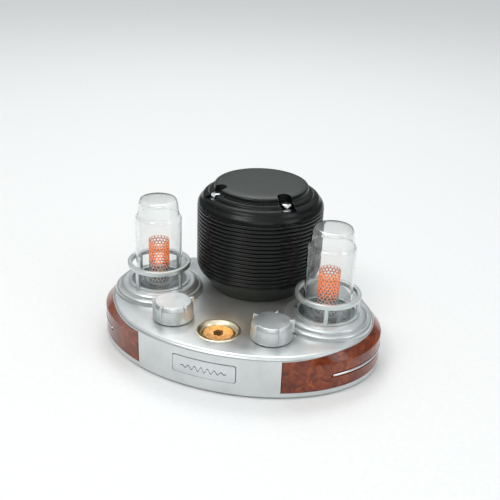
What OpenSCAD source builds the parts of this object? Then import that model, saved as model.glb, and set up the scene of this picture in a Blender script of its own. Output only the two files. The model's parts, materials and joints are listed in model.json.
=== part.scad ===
// Tabletop radio styled like a valve amplifier: an oval silver plinth with burl side panels,
// two glass valves in open cages, a ribbed black loudspeaker can, two control knobs and a
// lit brass push button. +Z is up, -Y is the front, and Z = 0 is the table.

/* [Plinth] */
// Width of the plinth
base_w = 220; // [218:0.5:224]
// Depth of the plinth, front to back
base_d = 158.6; // [157:0.2:162]
// Height of the plinth, from its lower rim to its top face
base_h = 32.4; // [32:0.2:34]
// Gap between the table and the plinth's lower rim
rim_gap = 1.6; // [1.2:0.1:2]
// Width of the silver top face, inside the panels' bevel
top_w = 207.2; // [206:0.2:209]
// Depth of the silver top face
top_d = 155.6; // [155:0.2:156.4]

/* [Side panels] */
// Distance from the centre line to each end of a side panel
panel_end_x = 55.5; // [53:0.5:58]
// Thickness of a side panel
panel_t = 3; // [2.6:0.1:3.2]
// Height of the silver rim that is left below a side panel
panel_rim = 3.5; // [3:0.5:5]
// Height of the panels' sloping upper edge
bevel_h = 8.6; // [7:0.2:9]
// Height of a chrome trim strip
trim_h = 2; // [1.6:0.2:2.4]
// Distance from the centre line to the ends of a trim strip
trim_end_x = 87.2; // [80:0.5:95]

/* [Badge] */
// Width of the front badge
badge_w = 48; // [40:1:56]
// Height of the front badge
badge_h = 13.6; // [10:0.2:15]

/* [Valves] */
// Distance from the centre line to each valve's axis
valve_x = 68.5; // [68:0.1:69]
// Distance of the valves' axes behind the plinth's centre
valve_y = -2.1; // [-4:0.1:0]
// Radius of the valve base's lower step
valve_step_r = 34.5; // [34:0.1:34.6]
// Radius of the valve base's upper step
valve_base_r = 31.1; // [30:0.1:32]
// Outer radius of the cage ring
cage_r = 24.6; // [24:0.1:25.4]
// Radius of the glass at its widest
glass_r = 18; // [17.6:0.1:18.4]
// Radius of the perforated plate cylinder
mesh_r = 8.1; // [7:0.1:8.6]

/* [Loudspeaker can] */
// Distance of the can's axis behind the plinth's centre
can_y = 39.3; // [38.5:0.1:40]
// Radius of the can over its ribs
can_r = 49.5; // [49:0.1:50]
// Number of ribs round the can
rib_count = 17; // [14:1:20]
// Radius of the raised disc on the lid
disc_r = 36; // [35.5:0.1:36.5]
// Radius of the circle of lid bolts
bolt_circle_r = 37; // [36.8:0.1:37.6]
// Angle of each lid bolt from the middle of the lid's front
bolt_angle = 48; // [45:1:52]

/* [Controls] */
// Distance from the centre line to each knob's axis
knob_x = 38.6; // [38:0.1:38.7]
// Distance of the knobs' axes behind the plinth's centre
knob_y = -42.6; // [-43:0.1:-42.5]
// Radius of a knob's body at its foot
knob_r = 15.4; // [15:0.1:15.8]
// Height of a knob's top above the plinth's top face
knob_h = 14.1; // [13:0.1:15]
// Distance of the push button's axis behind the plinth's centre
eye_y = -49; // [-50:0.1:-48.5]
// Outer radius of the push button's brass bezel
bezel_r = 16.7; // [16.2:0.1:17]
// Travel of the push button
press_travel = 1.2; // [1:0.1:1.4]
// Travel of the band switch lever
band_travel = 4; // [3:0.5:4]

/* [Hidden] */

fine = 108;              // sides of the plinth's ovals
round_fn = 96;           // facets on large rounds
small_fn = 40;           // facets on screws and shafts
eps = 0.01;
slit = 0.1;              // assembly gap round the glued-in pieces

// The plinth's front and the can's back are the same distance from Y = 0.
row_y = (base_d / 2 - can_y - can_r) / 2;
rim_z = rim_gap;
top_z = rim_gap + base_h;
a = base_w / 2;
b = base_d / 2;
top_a = top_w / 2;
top_b = top_d / 2;

lip_h = 1.5;             // height of the rounded lip along the front of the top face
plate_t = 3;             // thickness of the housing's top face
ceiling_z = top_z - plate_t;
crease_z = top_z - bevel_h;
panel_z = rim_z + panel_rim;
ledge_t = 1.8;           // depth of the top face's edge behind the panels
inner_crease_z = crease_z - 0.9;

wall_t = 6;              // wall of the lower housing, where the panels are let in
upper_step_z = 24;       // height at which the hollow narrows below the bevel
upper_a = a - 9;
upper_b = b - 8;

trim_z = rim_z + 14.5;   // height of the trim strips' middle
trim_groove_h = trim_h + 1.2;
trim_depth = 1.4;
trim_proud = 0.5;

badge_z = rim_z + 16.5;  // height of the badge's middle
badge_round = 2;
badge_t = 1.3;
badge_sunk = 0.5;

floor_z = rim_z + 0.6;   // underside of the base plate
floor_t = 2.5;
floor_top = floor_z + floor_t;
foot_r = 7.5;
foot_x = 62;
foot_y = 38;
foot_sunk = 1;
grille_r = 26;
grille_slot = 3;
grille_pitch = 6;
boss_r = 4;
base_screw_spots = [for (i = [0 : 5]) [(a - 14) * cos(60 * i), (b - 13.8) * sin(60 * i)]];

valve_step_h = 4;
valve_base_z = top_z + 7.8;   // top face of a valve's base
lamp_r = 11.2;
lamp_t = 1.6;
glass_t = 1.6;
glass_foot_z = valve_base_z - 0.9;
glass_shoulder_z = valve_base_z + 53;
glass_top_z = valve_base_z + 67.8;
cage_top_z = valve_base_z + 16.4;
cage_ring_h = 3.8;
cage_ring_w = 3.2;
cage_post_w = 3.2;
cage_foot_h = 1;
mesh_top_z = valve_base_z + 34.1;
valve_screw_r = 22;

can_c = [0, row_y + can_y];
collar_top_z = top_z + 14.6;
can_top_z = top_z + 68.1;
lid_top_z = top_z + 85.9;
can_inner_r = 45;
collar_hole_r = 29.5;
rib_pitch = (can_top_z - collar_top_z) / rib_count;
rib_depth = 1.6;
taper_h = 5.6;
bolt_seat_z = lid_top_z - 10.4;
bolt_head_h = 5.2;
bolt_shank_r = 2;
pocket_r = 5.5;
pocket_back = 2.5;
collar_screw_r = 33.5;
speaker_r = 42;
speaker_flange_t = 2;
magnet_z = collar_top_z + 18;

knob_z = top_z + 0.6;
knob_top_z = top_z + knob_h;
knob_face_r = 13.4;
fin_count = 5;
fin_foot = 3.8;          // height of a fin's foot above the knob's foot
fin_t = 1.6;
fin_r = 16.2;
shaft_r = 3;
shaft_fit = 0.05;        // running clearance of a shaft in its bearing
bearing_r = 4.6;
bearing_top_z = top_z + 2.6;
pot_r = 8.5;
pot_h = 8;

lens_r = 11.8;
lens_z = top_z - 1.7;
lens_t = 2.4;
barrel_r = 12.2;
socket_r = 16;           // radius of the bezel's body in the top face
bezel_rise = 0.5;
board_z = 10;
board_t = 1.6;
board_top = board_z + board_t;
board_x = 42;
board_c_y = -37;
board_d = 46;
plunger_r = 1.75;
plunger_z = board_top + 0.8 + press_travel;
switch_h = 5;

rod_y = -4;
rod_z = 18;
rod_r = 4.5;
rod_l = 90;

rear_x = 30;             // distance of the jack and the band switch from the centre line
rear_z = 14;
rear_board_z = 6.4;
rear_y = 68;             // rear face of the bodies on the rear board
lever_w = 4;
lever_h = 3;

silver = [0.76, 0.78, 0.79];
dark = [0.08, 0.09, 0.09];
steel = [0.7, 0.71, 0.72];
board_green = [0.08, 0.3, 0.16];

// ---- shared shapes ----

// A flat oval with the given half width and half depth.
module oval(half_w, half_d) {
  polygon([for (i = [0 : fine - 1]) let (turn = 360 * i / fine) [half_w * cos(turn), half_d * sin(turn)]]);
}

// An upright oval slab between two heights.
module slab(half_w, half_d, z0, z1) {
  translate([0, row_y, z0]) linear_extrude(z1 - z0) oval(half_w, half_d);
}

// A closed slope between two ovals at different heights.
module slope(low, z0, high, z1) {
  translate([0, row_y, 0]) hull() {
    translate([0, 0, z0]) linear_extrude(eps) oval(low[0], low[1]);
    translate([0, 0, z1 - eps]) linear_extrude(eps) oval(high[0], high[1]);
  }
}

// A half space on one side of the plane x = side * from, as a large block.
module side_block(side, from, z0, z1) {
  w = 100;
  x0 = side > 0 ? from : -from - w;
  translate([x0, row_y - 100, z0]) cube([w, 200, z1 - z0]);
}

module ring(outer_r, inner_r, z0, z1, fn = round_fn) {
  translate([0, 0, z0]) difference() {
    cylinder(r = outer_r, h = z1 - z0, $fn = fn);
    translate([0, 0, -1]) cylinder(r = inner_r, h = z1 - z0 + 2, $fn = fn);
  }
}

module peg(r, z0, z1, fn = small_fn) {
  translate([0, 0, z0]) cylinder(r = r, h = z1 - z0, $fn = fn);
}

// A screw that points up: a pan head with a cross recess, and a plain shank.
module screw(head_r, head_z, seat_z, shank_r, tip_z) {
  difference() {
    union() {
      peg(head_r, head_z, seat_z);
      peg(shank_r, seat_z - eps, tip_z);
    }
    for (turn = [0, 90]) rotate(turn)
      translate([-head_r * 0.6, -0.3, head_z - 1]) cube([head_r * 1.2, 0.6, 1.7]);
  }
}

module at_valve(side) {
  translate([side * valve_x, row_y + valve_y, 0]) children();
}

module at_can() {
  translate([can_c[0], can_c[1], 0]) children();
}

module at_knob(side) {
  translate([side * knob_x, row_y + knob_y, 0]) children();
}

module at_eye() {
  translate([0, row_y + eye_y, 0]) children();
}

module round_four(radius) {
  for (i = [0 : 3]) rotate(45 + 90 * i) translate([radius, 0, 0]) children();
}

module valve_screw_spots() {
  for (i = [0 : 2]) rotate(90 + 120 * i) translate([valve_screw_r, 0, 0]) children();
}

// ---- plinth ----

// The housing behind the side panels, which carries the top face.
module housing_core() {
  slab(a - panel_t, b - panel_t, rim_z, inner_crease_z);
  slope([a - panel_t, b - panel_t], inner_crease_z, [top_a, top_b], top_z - ledge_t);
  slab(top_a, top_b, top_z - ledge_t, top_z);
}

// The whole outside of the plinth, with its bevel on the given height.
module outside(edge_h) {
  slab(a, b, rim_z, top_z - edge_h);
  slope([a, b], top_z - edge_h, [top_a, top_b], top_z);
}

module housing_block() {
  union() {
    difference() {
      outside(lip_h);
      for (side = [-1, 1]) side_block(side, panel_end_x - slit, panel_z - slit, top_z + 1);
    }
    housing_core();
  }
}

module badge_outline(grow) {
  w = badge_w / 2 + grow;
  h = badge_h / 2 + grow;
  translate([0, row_y, badge_z]) rotate([90, 0, 0]) linear_extrude(b + 5) union() {
    square([2 * w - 2 * badge_round, 2 * h], center = true);
    square([2 * w, 2 * h - 2 * badge_round], center = true);
    for (sx = [-1, 1], sz = [-1, 1])
      translate([sx * (w - badge_round), sz * (h - badge_round)]) circle(badge_round, $fn = small_fn);
  }
}

module top_openings() {
  at_can() peg(collar_hole_r, ceiling_z - 1, top_z + 1, round_fn);
  at_can() round_four(collar_screw_r) peg(1.7, ceiling_z - 1, top_z + 1);
  at_eye() peg(socket_r + slit, ceiling_z - 1, top_z + 1, round_fn);
  for (side = [-1, 1]) {
    at_knob(side) peg(bearing_r + slit, ceiling_z - 1, top_z + 1);
    at_valve(side) peg(6, ceiling_z - 1, top_z + 1);
    at_valve(side) valve_screw_spots() peg(1.7, ceiling_z - 1, top_z + 1);
  }
}

module rear_openings() {
  translate([rear_x, row_y + rear_y - 2, rear_z]) rotate([-90, 0, 0])
    cylinder(r = 4.2, h = 20, $fn = small_fn);
  slot_w = lever_w + band_travel + 1.6;
  translate([-rear_x - slot_w / 2, row_y + rear_y - 2, rear_z - lever_h / 2 - 0.5])
    cube([slot_w, 20, lever_h + 1]);
}

module top_housing() {
  color(silver) difference() {
    union() {
      difference() {
        housing_block();
        slab(a - wall_t, b - wall_t, rim_z - 1, upper_step_z);
        slab(upper_a, upper_b, upper_step_z - eps, ceiling_z);
      }
      for (spot = base_screw_spots)
        translate([spot[0], row_y + spot[1], 0]) peg(boss_r, floor_top, ceiling_z + 1);
    }
    top_openings();
    rear_openings();
    difference() {
      badge_outline(0.3);
      slab(a - badge_sunk - badge_t, b - badge_sunk - badge_t, 0, top_z);
    }
    for (spot = base_screw_spots)
      translate([spot[0], row_y + spot[1], 0]) peg(1.55, floor_top - 1, floor_top + 14);
  }
}

module base_plate() {
  color([0.2, 0.21, 0.22]) difference() {
    union() {
      slab(a - wall_t - 0.2, b - wall_t - 0.2, floor_z, floor_top);
      for (sx = [-1, 1], dy = [-1, 1])
        translate([sx * (board_x - 5), row_y + board_c_y + dy * (board_d / 2 - 5), 0])
          peg(3.2, floor_top - 1, board_z);
      for (sx = [-1, 1]) translate([sx * rear_x * 0.6, row_y + rear_y - 9, 0])
        peg(3, floor_top - 1, rear_board_z);
    }
    for (sx = [-1, 1], sy = [-1, 1])
      translate([sx * foot_x, row_y + sy * foot_y, 0]) peg(foot_r + 0.1, 0, floor_z + foot_sunk);
    for (spot = base_screw_spots) translate([spot[0], row_y + spot[1], 0]) {
      peg(1.7, 0, floor_top + 1);
      peg(3.1, 0, floor_z + 1.6);
    }
    for (sx = [-1, 1], dy = [-1, 1])
      translate([sx * (board_x - 5), row_y + board_c_y + dy * (board_d / 2 - 5), 0])
        peg(1.25, floor_top, board_z + 1);
    at_can() for (i = [-4 : 4]) {
      half = sqrt(grille_r * grille_r - pow(i * grille_pitch, 2));
      translate([i * grille_pitch - grille_slot / 2, -half, 0]) cube([grille_slot, 2 * half, 20]);
    }
  }
}

module rubber_feet() {
  color([0.07, 0.07, 0.07]) for (sx = [-1, 1], sy = [-1, 1])
    translate([sx * foot_x, row_y + sy * foot_y, 0]) rotate_extrude($fn = small_fn)
      polygon([[0, 0], [foot_r - 0.8, 0], [foot_r, 0.8], [foot_r, floor_z + foot_sunk],
               [0, floor_z + foot_sunk]]);
}

module base_screws() {
  color(steel) for (spot = base_screw_spots) translate([spot[0], row_y + spot[1], 0])
    screw(2.9, floor_z + 0.2, floor_z + 1.6, 1.5, floor_top + 10);
}

// ---- side panels, trim and badge ----

module wood_panel(side) {
  color([0.42, 0.13, 0.06]) difference() {
    intersection() {
      outside(bevel_h);
      side_block(side, panel_end_x, panel_z, top_z + 1);
    }
    housing_core();
    difference() {
      side_block(side, trim_end_x - 0.6, trim_z - trim_groove_h / 2, trim_z + trim_groove_h / 2);
      slab(a - trim_depth, b - trim_depth, 0, top_z);
    }
  }
}

module trim_strip(side) {
  color([0.85, 0.86, 0.87]) intersection() {
    difference() {
      slab(a + trim_proud, b + trim_proud, trim_z - trim_h / 2, trim_z + trim_h / 2);
      slab(a - trim_depth, b - trim_depth, 0, top_z);
    }
    side_block(side, trim_end_x, 0, top_z);
  }
}

module wood_panel_left() wood_panel(-1);
module wood_panel_right() wood_panel(1);
module trim_strip_left() trim_strip(-1);
module trim_strip_right() trim_strip(1);

module name_badge() {
  color([0.8, 0.81, 0.82]) intersection() {
    badge_outline(0);
    difference() {
      slab(a - badge_sunk, b - badge_sunk, 0, top_z);
      slab(a - badge_sunk - badge_t, b - badge_sunk - badge_t, -1, top_z + 1);
    }
  }
}

// ---- valves ----

module valve_base(side) {
  step_z = top_z + valve_step_h;
  color(silver) at_valve(side) difference() {
    rotate_extrude($fn = round_fn) polygon([
      [9, top_z], [valve_step_r, top_z], [valve_step_r, step_z - 0.8], [valve_step_r - 0.8, step_z],
      [valve_base_r, step_z], [valve_base_r, valve_base_z - 1], [valve_base_r - 1, valve_base_z],
      [glass_r + 0.2, valve_base_z], [glass_r + 0.2, glass_foot_z],
      [glass_r - glass_t - 0.2, glass_foot_z], [glass_r - glass_t - 0.2, valve_base_z],
      [lamp_r + 0.1, valve_base_z], [lamp_r + 0.1, valve_base_z - lamp_t],
      [9, valve_base_z - lamp_t]]);
    valve_screw_spots() peg(1.5, top_z - 1, top_z + 5.5);
  }
}

// An open cage: a rounded ring on four posts, standing on a thin foot ring.
module valve_cage(side, first_post) {
  inner = cage_r - cage_ring_w;
  ring_z = cage_top_z - cage_ring_h;
  soft = 1;
  color([0.66, 0.69, 0.7]) at_valve(side) union() {
    rotate_extrude($fn = round_fn) polygon([
      [inner + soft, ring_z], [cage_r - soft, ring_z], [cage_r, ring_z + soft],
      [cage_r, cage_top_z - soft], [cage_r - soft, cage_top_z], [inner + soft, cage_top_z],
      [inner, cage_top_z - soft], [inner, ring_z + soft]]);
    ring(cage_r - 0.2, inner + 0.2, valve_base_z, valve_base_z + cage_foot_h);
    intersection() {
      ring(cage_r - 0.3, inner + 0.4, valve_base_z, ring_z + 1);
      for (i = [0 : 3]) rotate(first_post + 90 * i)
        translate([0, -cage_post_w / 2, 0]) cube([cage_r + 5, cage_post_w, 100]);
    }
  }
}

module valve_glass(side) {
  t = glass_t;
  s = glass_shoulder_z;
  top = glass_top_z;
  color([0.85, 0.93, 0.95, 0.35]) at_valve(side) rotate_extrude($fn = round_fn) polygon([
    [glass_r, glass_foot_z], [glass_r, s], [17.5, s + 1.4], [16.4, s + 2.2], [15.9, s + 3.2],
    [15.5, s + 6], [14.6, top - 3.2], [13.8, top - 1.6], [12.2, top - 0.6], [0, top],
    [0, top - t], [11.6, top - 0.6 - t], [12.6, top - 3], [13.9, s + 6],
    [14.3, s + 3], [15.4, s + 1.2], [glass_r - t, s - 0.4], [glass_r - t, glass_foot_z]]);
}

module valve_mesh(side) {
  color([0.95, 0.45, 0.15]) at_valve(side)
    ring(mesh_r, mesh_r - 0.6, valve_base_z, mesh_top_z, 64);
}

// A round lamp board with a domed lamp that stands inside the perforated cylinder.
module valve_lamp(side) {
  color([1, 0.6, 0.2]) at_valve(side) union() {
    peg(lamp_r, valve_base_z - lamp_t, valve_base_z, 64);
    peg(2.5, valve_base_z - eps, valve_base_z + 6);
    translate([0, 0, valve_base_z + 6]) sphere(2.5, $fn = small_fn);
  }
}

module valve_base_left() valve_base(-1);
module valve_base_right() valve_base(1);
module valve_cage_left() valve_cage(-1, -111);
module valve_cage_right() valve_cage(1, -78);
module valve_glass_left() valve_glass(-1);
module valve_glass_right() valve_glass(1);
module valve_mesh_left() valve_mesh(-1);
module valve_mesh_right() valve_mesh(1);
module valve_lamp_left() valve_lamp(-1);
module valve_lamp_right() valve_lamp(1);

module valve_screws() {
  color(steel) for (side = [-1, 1]) at_valve(side) valve_screw_spots()
    screw(2.8, ceiling_z - 2, ceiling_z, 1.45, top_z + 5);
}

// ---- loudspeaker can ----

module can_collar() {
  color([0.13, 0.14, 0.14]) at_can() difference() {
    rotate_extrude($fn = round_fn) polygon([
      [collar_hole_r, top_z], [37.2, top_z], [37.6, top_z + 1], [40, top_z + 4.4],
      [42.5, top_z + 8.3], [45, top_z + 11.5], [47, collar_top_z - 0.4], [46.6, collar_top_z],
      [34.5, collar_top_z], [34.5, top_z + 4], [collar_hole_r, top_z + 4]]);
    lid_bolt_spots() peg(bolt_shank_r + 0.05, top_z + 8, collar_top_z + 1);
    round_four(collar_screw_r) peg(1.5, top_z - 1, top_z + 3.5);
  }
}

// Radius of the ribs at a height above the collar: they narrow near the foot.
function rib_r(z) = can_r - 2.2 * pow(max(0, 1 - z / taper_h), 1.5);

// One rib's outline, from its lower groove to its upper one.
function rib_outline(i) = let (z = i * rib_pitch, p = rib_pitch, r = rib_r(z + p / 2)) [
  [r - rib_depth, z], [r - rib_depth, z + 0.3], [r - 0.35, z + 0.75], [r, z + 1.15],
  [r, z + p - 0.85], [r - 0.35, z + p - 0.45], [r - rib_depth, z + p - 0.15]];

module can_body() {
  outline = [for (i = [0 : rib_count - 1]) each rib_outline(i)];
  height = can_top_z - collar_top_z;
  color(dark) at_can() translate([0, 0, collar_top_z]) rotate_extrude($fn = round_fn)
    polygon(concat([[can_inner_r, 0]], outline, [[can_r - rib_depth, height], [can_inner_r, height]]));
}

// The two places on a circle, left and right of the can's front, where the lid is bolted down.
module lid_bolt_spots() {
  for (side = [-1, 1]) rotate(side * bolt_angle - 90) translate([bolt_circle_r, 0, 0]) children();
}

// A U-shaped pocket that opens outwards, round one lid bolt.
module bolt_pocket() {
  translate([-pocket_back, 0, bolt_seat_z]) union() {
    cylinder(r = pocket_r, h = 20, $fn = small_fn);
    translate([0, -pocket_r, 0]) cube([30, 2 * pocket_r, 20]);
  }
}

module can_lid() {
  t = lid_top_z;
  color([0.16, 0.17, 0.16]) at_can() difference() {
    rotate_extrude($fn = round_fn) polygon([
      [0, t], [20, t - 0.1], [30, t - 0.5], [33.5, t - 1.2], [35.3, t - 2.4], [disc_r, t - 4],
      [disc_r, t - 4.8], [39, t - 6.3], [42, t - 8.2], [44.5, t - 10], [47, t - 12.5],
      [48.7, t - 15.2], [can_r, can_top_z], [can_inner_r - 0.3, can_top_z],
      [can_inner_r - 0.3, can_top_z - 2], [can_inner_r - 3, can_top_z - 2],
      [can_inner_r - 3, can_top_z + 4], [24, can_top_z + 4], [24, t - 5], [0, t - 5]]);
    lid_bolt_spots() bolt_pocket();
    lid_bolt_spots() peg(bolt_shank_r + 0.2, can_top_z - 3, t);
  }
}

module can_bolts() {
  color([0.85, 0.86, 0.88]) at_can() lid_bolt_spots() union() {
    translate([0, 0, bolt_seat_z]) rotate(15) cylinder(r = 4.2, h = bolt_head_h, $fn = 6);
    peg(bolt_shank_r, top_z + 9, bolt_seat_z + eps);
  }
}

module collar_screws() {
  color(steel) at_can() round_four(collar_screw_r)
    screw(2.8, ceiling_z - 2, ceiling_z, 1.45, top_z + 3);
}

// ---- loudspeaker, facing down into the plinth ----

module speaker_frame() {
  z = collar_top_z;
  f = speaker_flange_t;
  color([0.3, 0.31, 0.32]) at_can() difference() {
    rotate_extrude($fn = round_fn) polygon([
      [34, z], [speaker_r, z], [speaker_r, z + f], [36.5, z + f], [26, magnet_z],
      [12, magnet_z], [12, magnet_z - 1.5], [24.8, magnet_z - 1.5], [34, z + f]]);
    lid_bolt_spots() peg(bolt_shank_r + 0.2, z - 1, z + f + 3);
    for (i = [0 : 3]) rotate(90 * i) translate([22, -7, z + 5]) cube([20, 14, 8]);
  }
}

module speaker_magnet() {
  color([0.15, 0.15, 0.16]) at_can() union() {
    ring(20, 10.5, magnet_z, magnet_z + 4, 64);
    ring(24, 11, magnet_z + 4 - eps, magnet_z + 14, 64);
    peg(20, magnet_z + 14 - eps, magnet_z + 17, 64);
    peg(8.5, magnet_z - 1, magnet_z + 14.5, 64);
  }
}

module speaker_cone() {
  z = collar_top_z;
  color([0.1, 0.1, 0.1]) at_can() union() {
    rotate_extrude($fn = round_fn) polygon([
      [29.5, z + 1], [29.5, z + 1.8], [10, magnet_z - 5.2], [10, magnet_z + 3],
      [9.3, magnet_z + 3], [9.3, magnet_z - 6.2], [28.5, z + 1]]);
    rotate_extrude($fn = round_fn) polygon([
      [0, magnet_z - 9], [5, magnet_z - 8.4], [9.6, magnet_z - 6.2], [9.6, magnet_z - 5.4],
      [5, magnet_z - 7.6], [0, magnet_z - 8.2]]);
  }
}

module speaker_surround() {
  z = collar_top_z;
  color([0.05, 0.05, 0.05]) at_can() rotate_extrude($fn = round_fn) polygon([
    [29.5, z + 1], [30.5, z + 0.3], [32, z + 0.1], [33.2, z + 0.4], [34, z + 1.2], [34, z + 2],
    [33, z + 1.3], [32, z + 0.9], [30.6, z + 1.1], [29.5, z + 1.8]]);
}

// ---- controls ----

// A shaft outline with the flat that keys a knob.
module keyed(radius, z0, z1) {
  intersection() {
    peg(radius, z0, z1);
    translate([-radius - 1, -radius - 1, z0]) cube([radius + 1 + radius / 2, 2 * radius + 2, z1 - z0]);
  }
}

module knob(side, first_fin) {
  color(silver) at_knob(side) difference() {
    union() {
      rotate_extrude($fn = round_fn) polygon([
        [0, knob_z], [knob_r, knob_z], [knob_r - 0.4, knob_top_z - 3], [knob_face_r, knob_top_z],
        [0, knob_top_z]]);
      for (i = [0 : fin_count - 1]) rotate(first_fin + 360 / fin_count * i)
        translate([knob_face_r - 2, -fin_t / 2, knob_z + fin_foot])
          cube([fin_r - knob_face_r + 2, fin_t, knob_top_z + 0.2 - knob_z - fin_foot]);
    }
    peg(knob_r - 4, knob_z - 1, bearing_top_z + 1.4, round_fn);
    keyed(shaft_r + shaft_fit, knob_z, knob_top_z - 3);
  }
}

module control_shaft(side) {
  color(steel) at_knob(side) union() {
    peg(shaft_r, ceiling_z - pot_h + 1, bearing_top_z + 1.5);
    keyed(shaft_r, bearing_top_z + 1.4, knob_top_z - 3.2);
  }
}

// The threaded bearing and nut that clamp a control to the top face.
module bearing() {
  peg(bearing_r, ceiling_z - eps, bearing_top_z);
  peg(6.2, top_z, top_z + 1.8, 6);
}

module bearing_bore() {
  peg(shaft_r + shaft_fit, ceiling_z - pot_h + 0.9, bearing_top_z + 1);
}

module volume_knob() knob(-1, 114);
module tuning_knob() knob(1, 93);
module volume_shaft() control_shaft(-1);
module tuning_shaft() control_shaft(1);

module volume_pot() {
  color(steel) at_knob(-1) difference() {
    union() {
      peg(pot_r, ceiling_z - pot_h, ceiling_z, 64);
      translate([-6, -pot_r - 4, ceiling_z - pot_h]) cube([12, 6, 1.6]);
      bearing();
    }
    bearing_bore();
  }
}

module tuning_capacitor() {
  side_l = 17;
  color([0.85, 0.85, 0.8]) at_knob(1) difference() {
    union() {
      translate([-side_l / 2, -side_l / 2, ceiling_z - pot_h]) cube([side_l, side_l, pot_h]);
      bearing();
    }
    bearing_bore();
  }
}

module eye_bezel() {
  rim = top_z + bezel_rise;
  color([0.83, 0.66, 0.36]) at_eye() rotate_extrude($fn = round_fn) polygon([
    [barrel_r, top_z - 9], [barrel_r + 1.4, top_z - 9], [barrel_r + 1.4, ceiling_z - 0.6],
    [socket_r, ceiling_z - 0.6], [socket_r, top_z], [bezel_r, top_z], [bezel_r, rim - 0.3],
    [bezel_r - 0.3, rim], [bezel_r - 0.9, rim], [barrel_r, top_z - 1.9]]);
}

// The lit push button: a disc on a stem that works the switch below.
module eye_lens() {
  color([1, 0.7, 0.3]) at_eye() union() {
    peg(lens_r, lens_z - lens_t, lens_z, round_fn);
    ring(lens_r, lens_r - 1.2, lens_z - 6.5, lens_z - lens_t + eps);
    peg(2.6, plunger_z + switch_h + 0.4, lens_z - lens_t + eps);
  }
}

module eye_rosette() {
  color([0.2, 0.12, 0.05]) at_eye() union() {
    peg(1.6, lens_z, lens_z + 0.8);
    for (i = [0 : 5]) rotate(60 * i) translate([2.5, 0, lens_z])
      cylinder(r = 1.3, h = 0.5, $fn = small_fn);
  }
}

module power_switch() {
  color([0.12, 0.12, 0.12]) at_eye() difference() {
    translate([-6, -6, board_top]) cube([12, 12, switch_h]);
    peg(plunger_r + shaft_fit, board_top + 0.6, board_top + switch_h + 1);
  }
}

module power_plunger() {
  color([0.8, 0.8, 0.78]) at_eye() peg(plunger_r, plunger_z, plunger_z + switch_h + 0.4);
}

module eye_leds() {
  color([1, 0.8, 0.4]) at_eye() for (sx = [-1, 1])
    translate([sx * 9 - 1.75, -1.4, board_top]) cube([3.5, 2.8, 1.2]);
}

// ---- electronics ----

module board_screw_spots() {
  for (sx = [-1, 1], dy = [-1, 1])
    translate([sx * (board_x - 5), row_y + board_c_y + dy * (board_d / 2 - 5), 0]) children();
}

module main_board() {
  color(board_green) difference() {
    translate([-board_x, row_y + board_c_y - board_d / 2, board_z])
      cube([2 * board_x, board_d, board_t]);
    board_screw_spots() peg(1.6, board_z - 1, board_top + 1);
  }
}

// Screws that point down, into the base plate's pillars.
module board_screws() {
  color(steel) board_screw_spots() translate([0, 0, board_top]) mirror([0, 0, 1])
    screw(2.6, -1.6, 0, 1.2, 6);
}

module chip(x, y, w, d, h) {
  color([0.09, 0.09, 0.1]) translate([x - w / 2, row_y + y - d / 2, board_top]) cube([w, d, h]);
}

module audio_chip() chip(-18, -30, 10, 7, 3);
module tuner_chip() chip(17, -31, 9, 9, 1.6);

module board_capacitors() {
  color([0.1, 0.15, 0.4]) for (spot = [[-28, -21, 3.2, 9], [-4, -24, 4, 10], [7, -22, 3.2, 9]])
    translate([spot[0], row_y + spot[1], 0]) peg(spot[2], board_top, board_top + spot[3]);
}

module along_rod(x) {
  translate([x, row_y + rod_y, rod_z]) rotate([0, 90, 0]) children();
}

module ferrite_rod() {
  color([0.2, 0.2, 0.2]) along_rod(-rod_l / 2) cylinder(r = rod_r, h = rod_l, $fn = small_fn);
}

module antenna_coil() {
  color([0.75, 0.4, 0.2]) along_rod(-8) difference() {
    cylinder(r = rod_r + 1.7, h = 24, $fn = small_fn);
    translate([0, 0, -1]) cylinder(r = rod_r + 0.05, h = 26, $fn = small_fn);
  }
}

module rod_clips() {
  color([0.85, 0.84, 0.8]) for (sx = [-1, 1]) difference() {
    translate([sx * 34 - 3, row_y + rod_y - 7, floor_top]) cube([6, 14, rod_z + 3.4 - floor_top]);
    along_rod(sx * 34 - 5) cylinder(r = rod_r + 0.05, h = 10, $fn = small_fn);
  }
}

module rear_board() {
  color(board_green) translate([-rear_x - 9, row_y + rear_y - 16, rear_board_z])
    cube([2 * rear_x + 18, 15, board_t]);
}

module dc_jack() {
  z0 = rear_board_z + board_t;
  color([0.08, 0.08, 0.09]) translate([rear_x, row_y, 0]) union() {
    difference() {
      union() {
        translate([-5, rear_y - 11, z0]) cube([10, 11, rear_z + 5 - z0]);
        translate([0, rear_y - 1, rear_z]) rotate([-90, 0, 0]) cylinder(r = 4, h = 8.2, $fn = small_fn);
      }
      translate([0, rear_y - 4, rear_z]) rotate([-90, 0, 0]) cylinder(r = 2.8, h = 20, $fn = small_fn);
    }
    translate([0, rear_y - 5, rear_z]) rotate([-90, 0, 0]) cylinder(r = 1, h = 11, $fn = small_fn);
  }
}

module band_switch() {
  z0 = rear_board_z + board_t;
  slot_w = lever_w + band_travel + 1;
  color([0.6, 0.62, 0.63]) translate([-rear_x, row_y, 0]) difference() {
    translate([-8, rear_y - 7, z0]) cube([16, 7, rear_z + 4 - z0]);
    translate([-slot_w / 2, rear_y - 4, rear_z - lever_h / 2 - 0.3]) cube([slot_w, 10, lever_h + 0.6]);
  }
}

module band_lever() {
  x0 = -rear_x - band_travel / 2 - lever_w / 2;
  color([0.07, 0.07, 0.07]) translate([x0, row_y + rear_y - 3.6, rear_z - lever_h / 2])
    cube([lever_w, 14, lever_h]);
}

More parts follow.
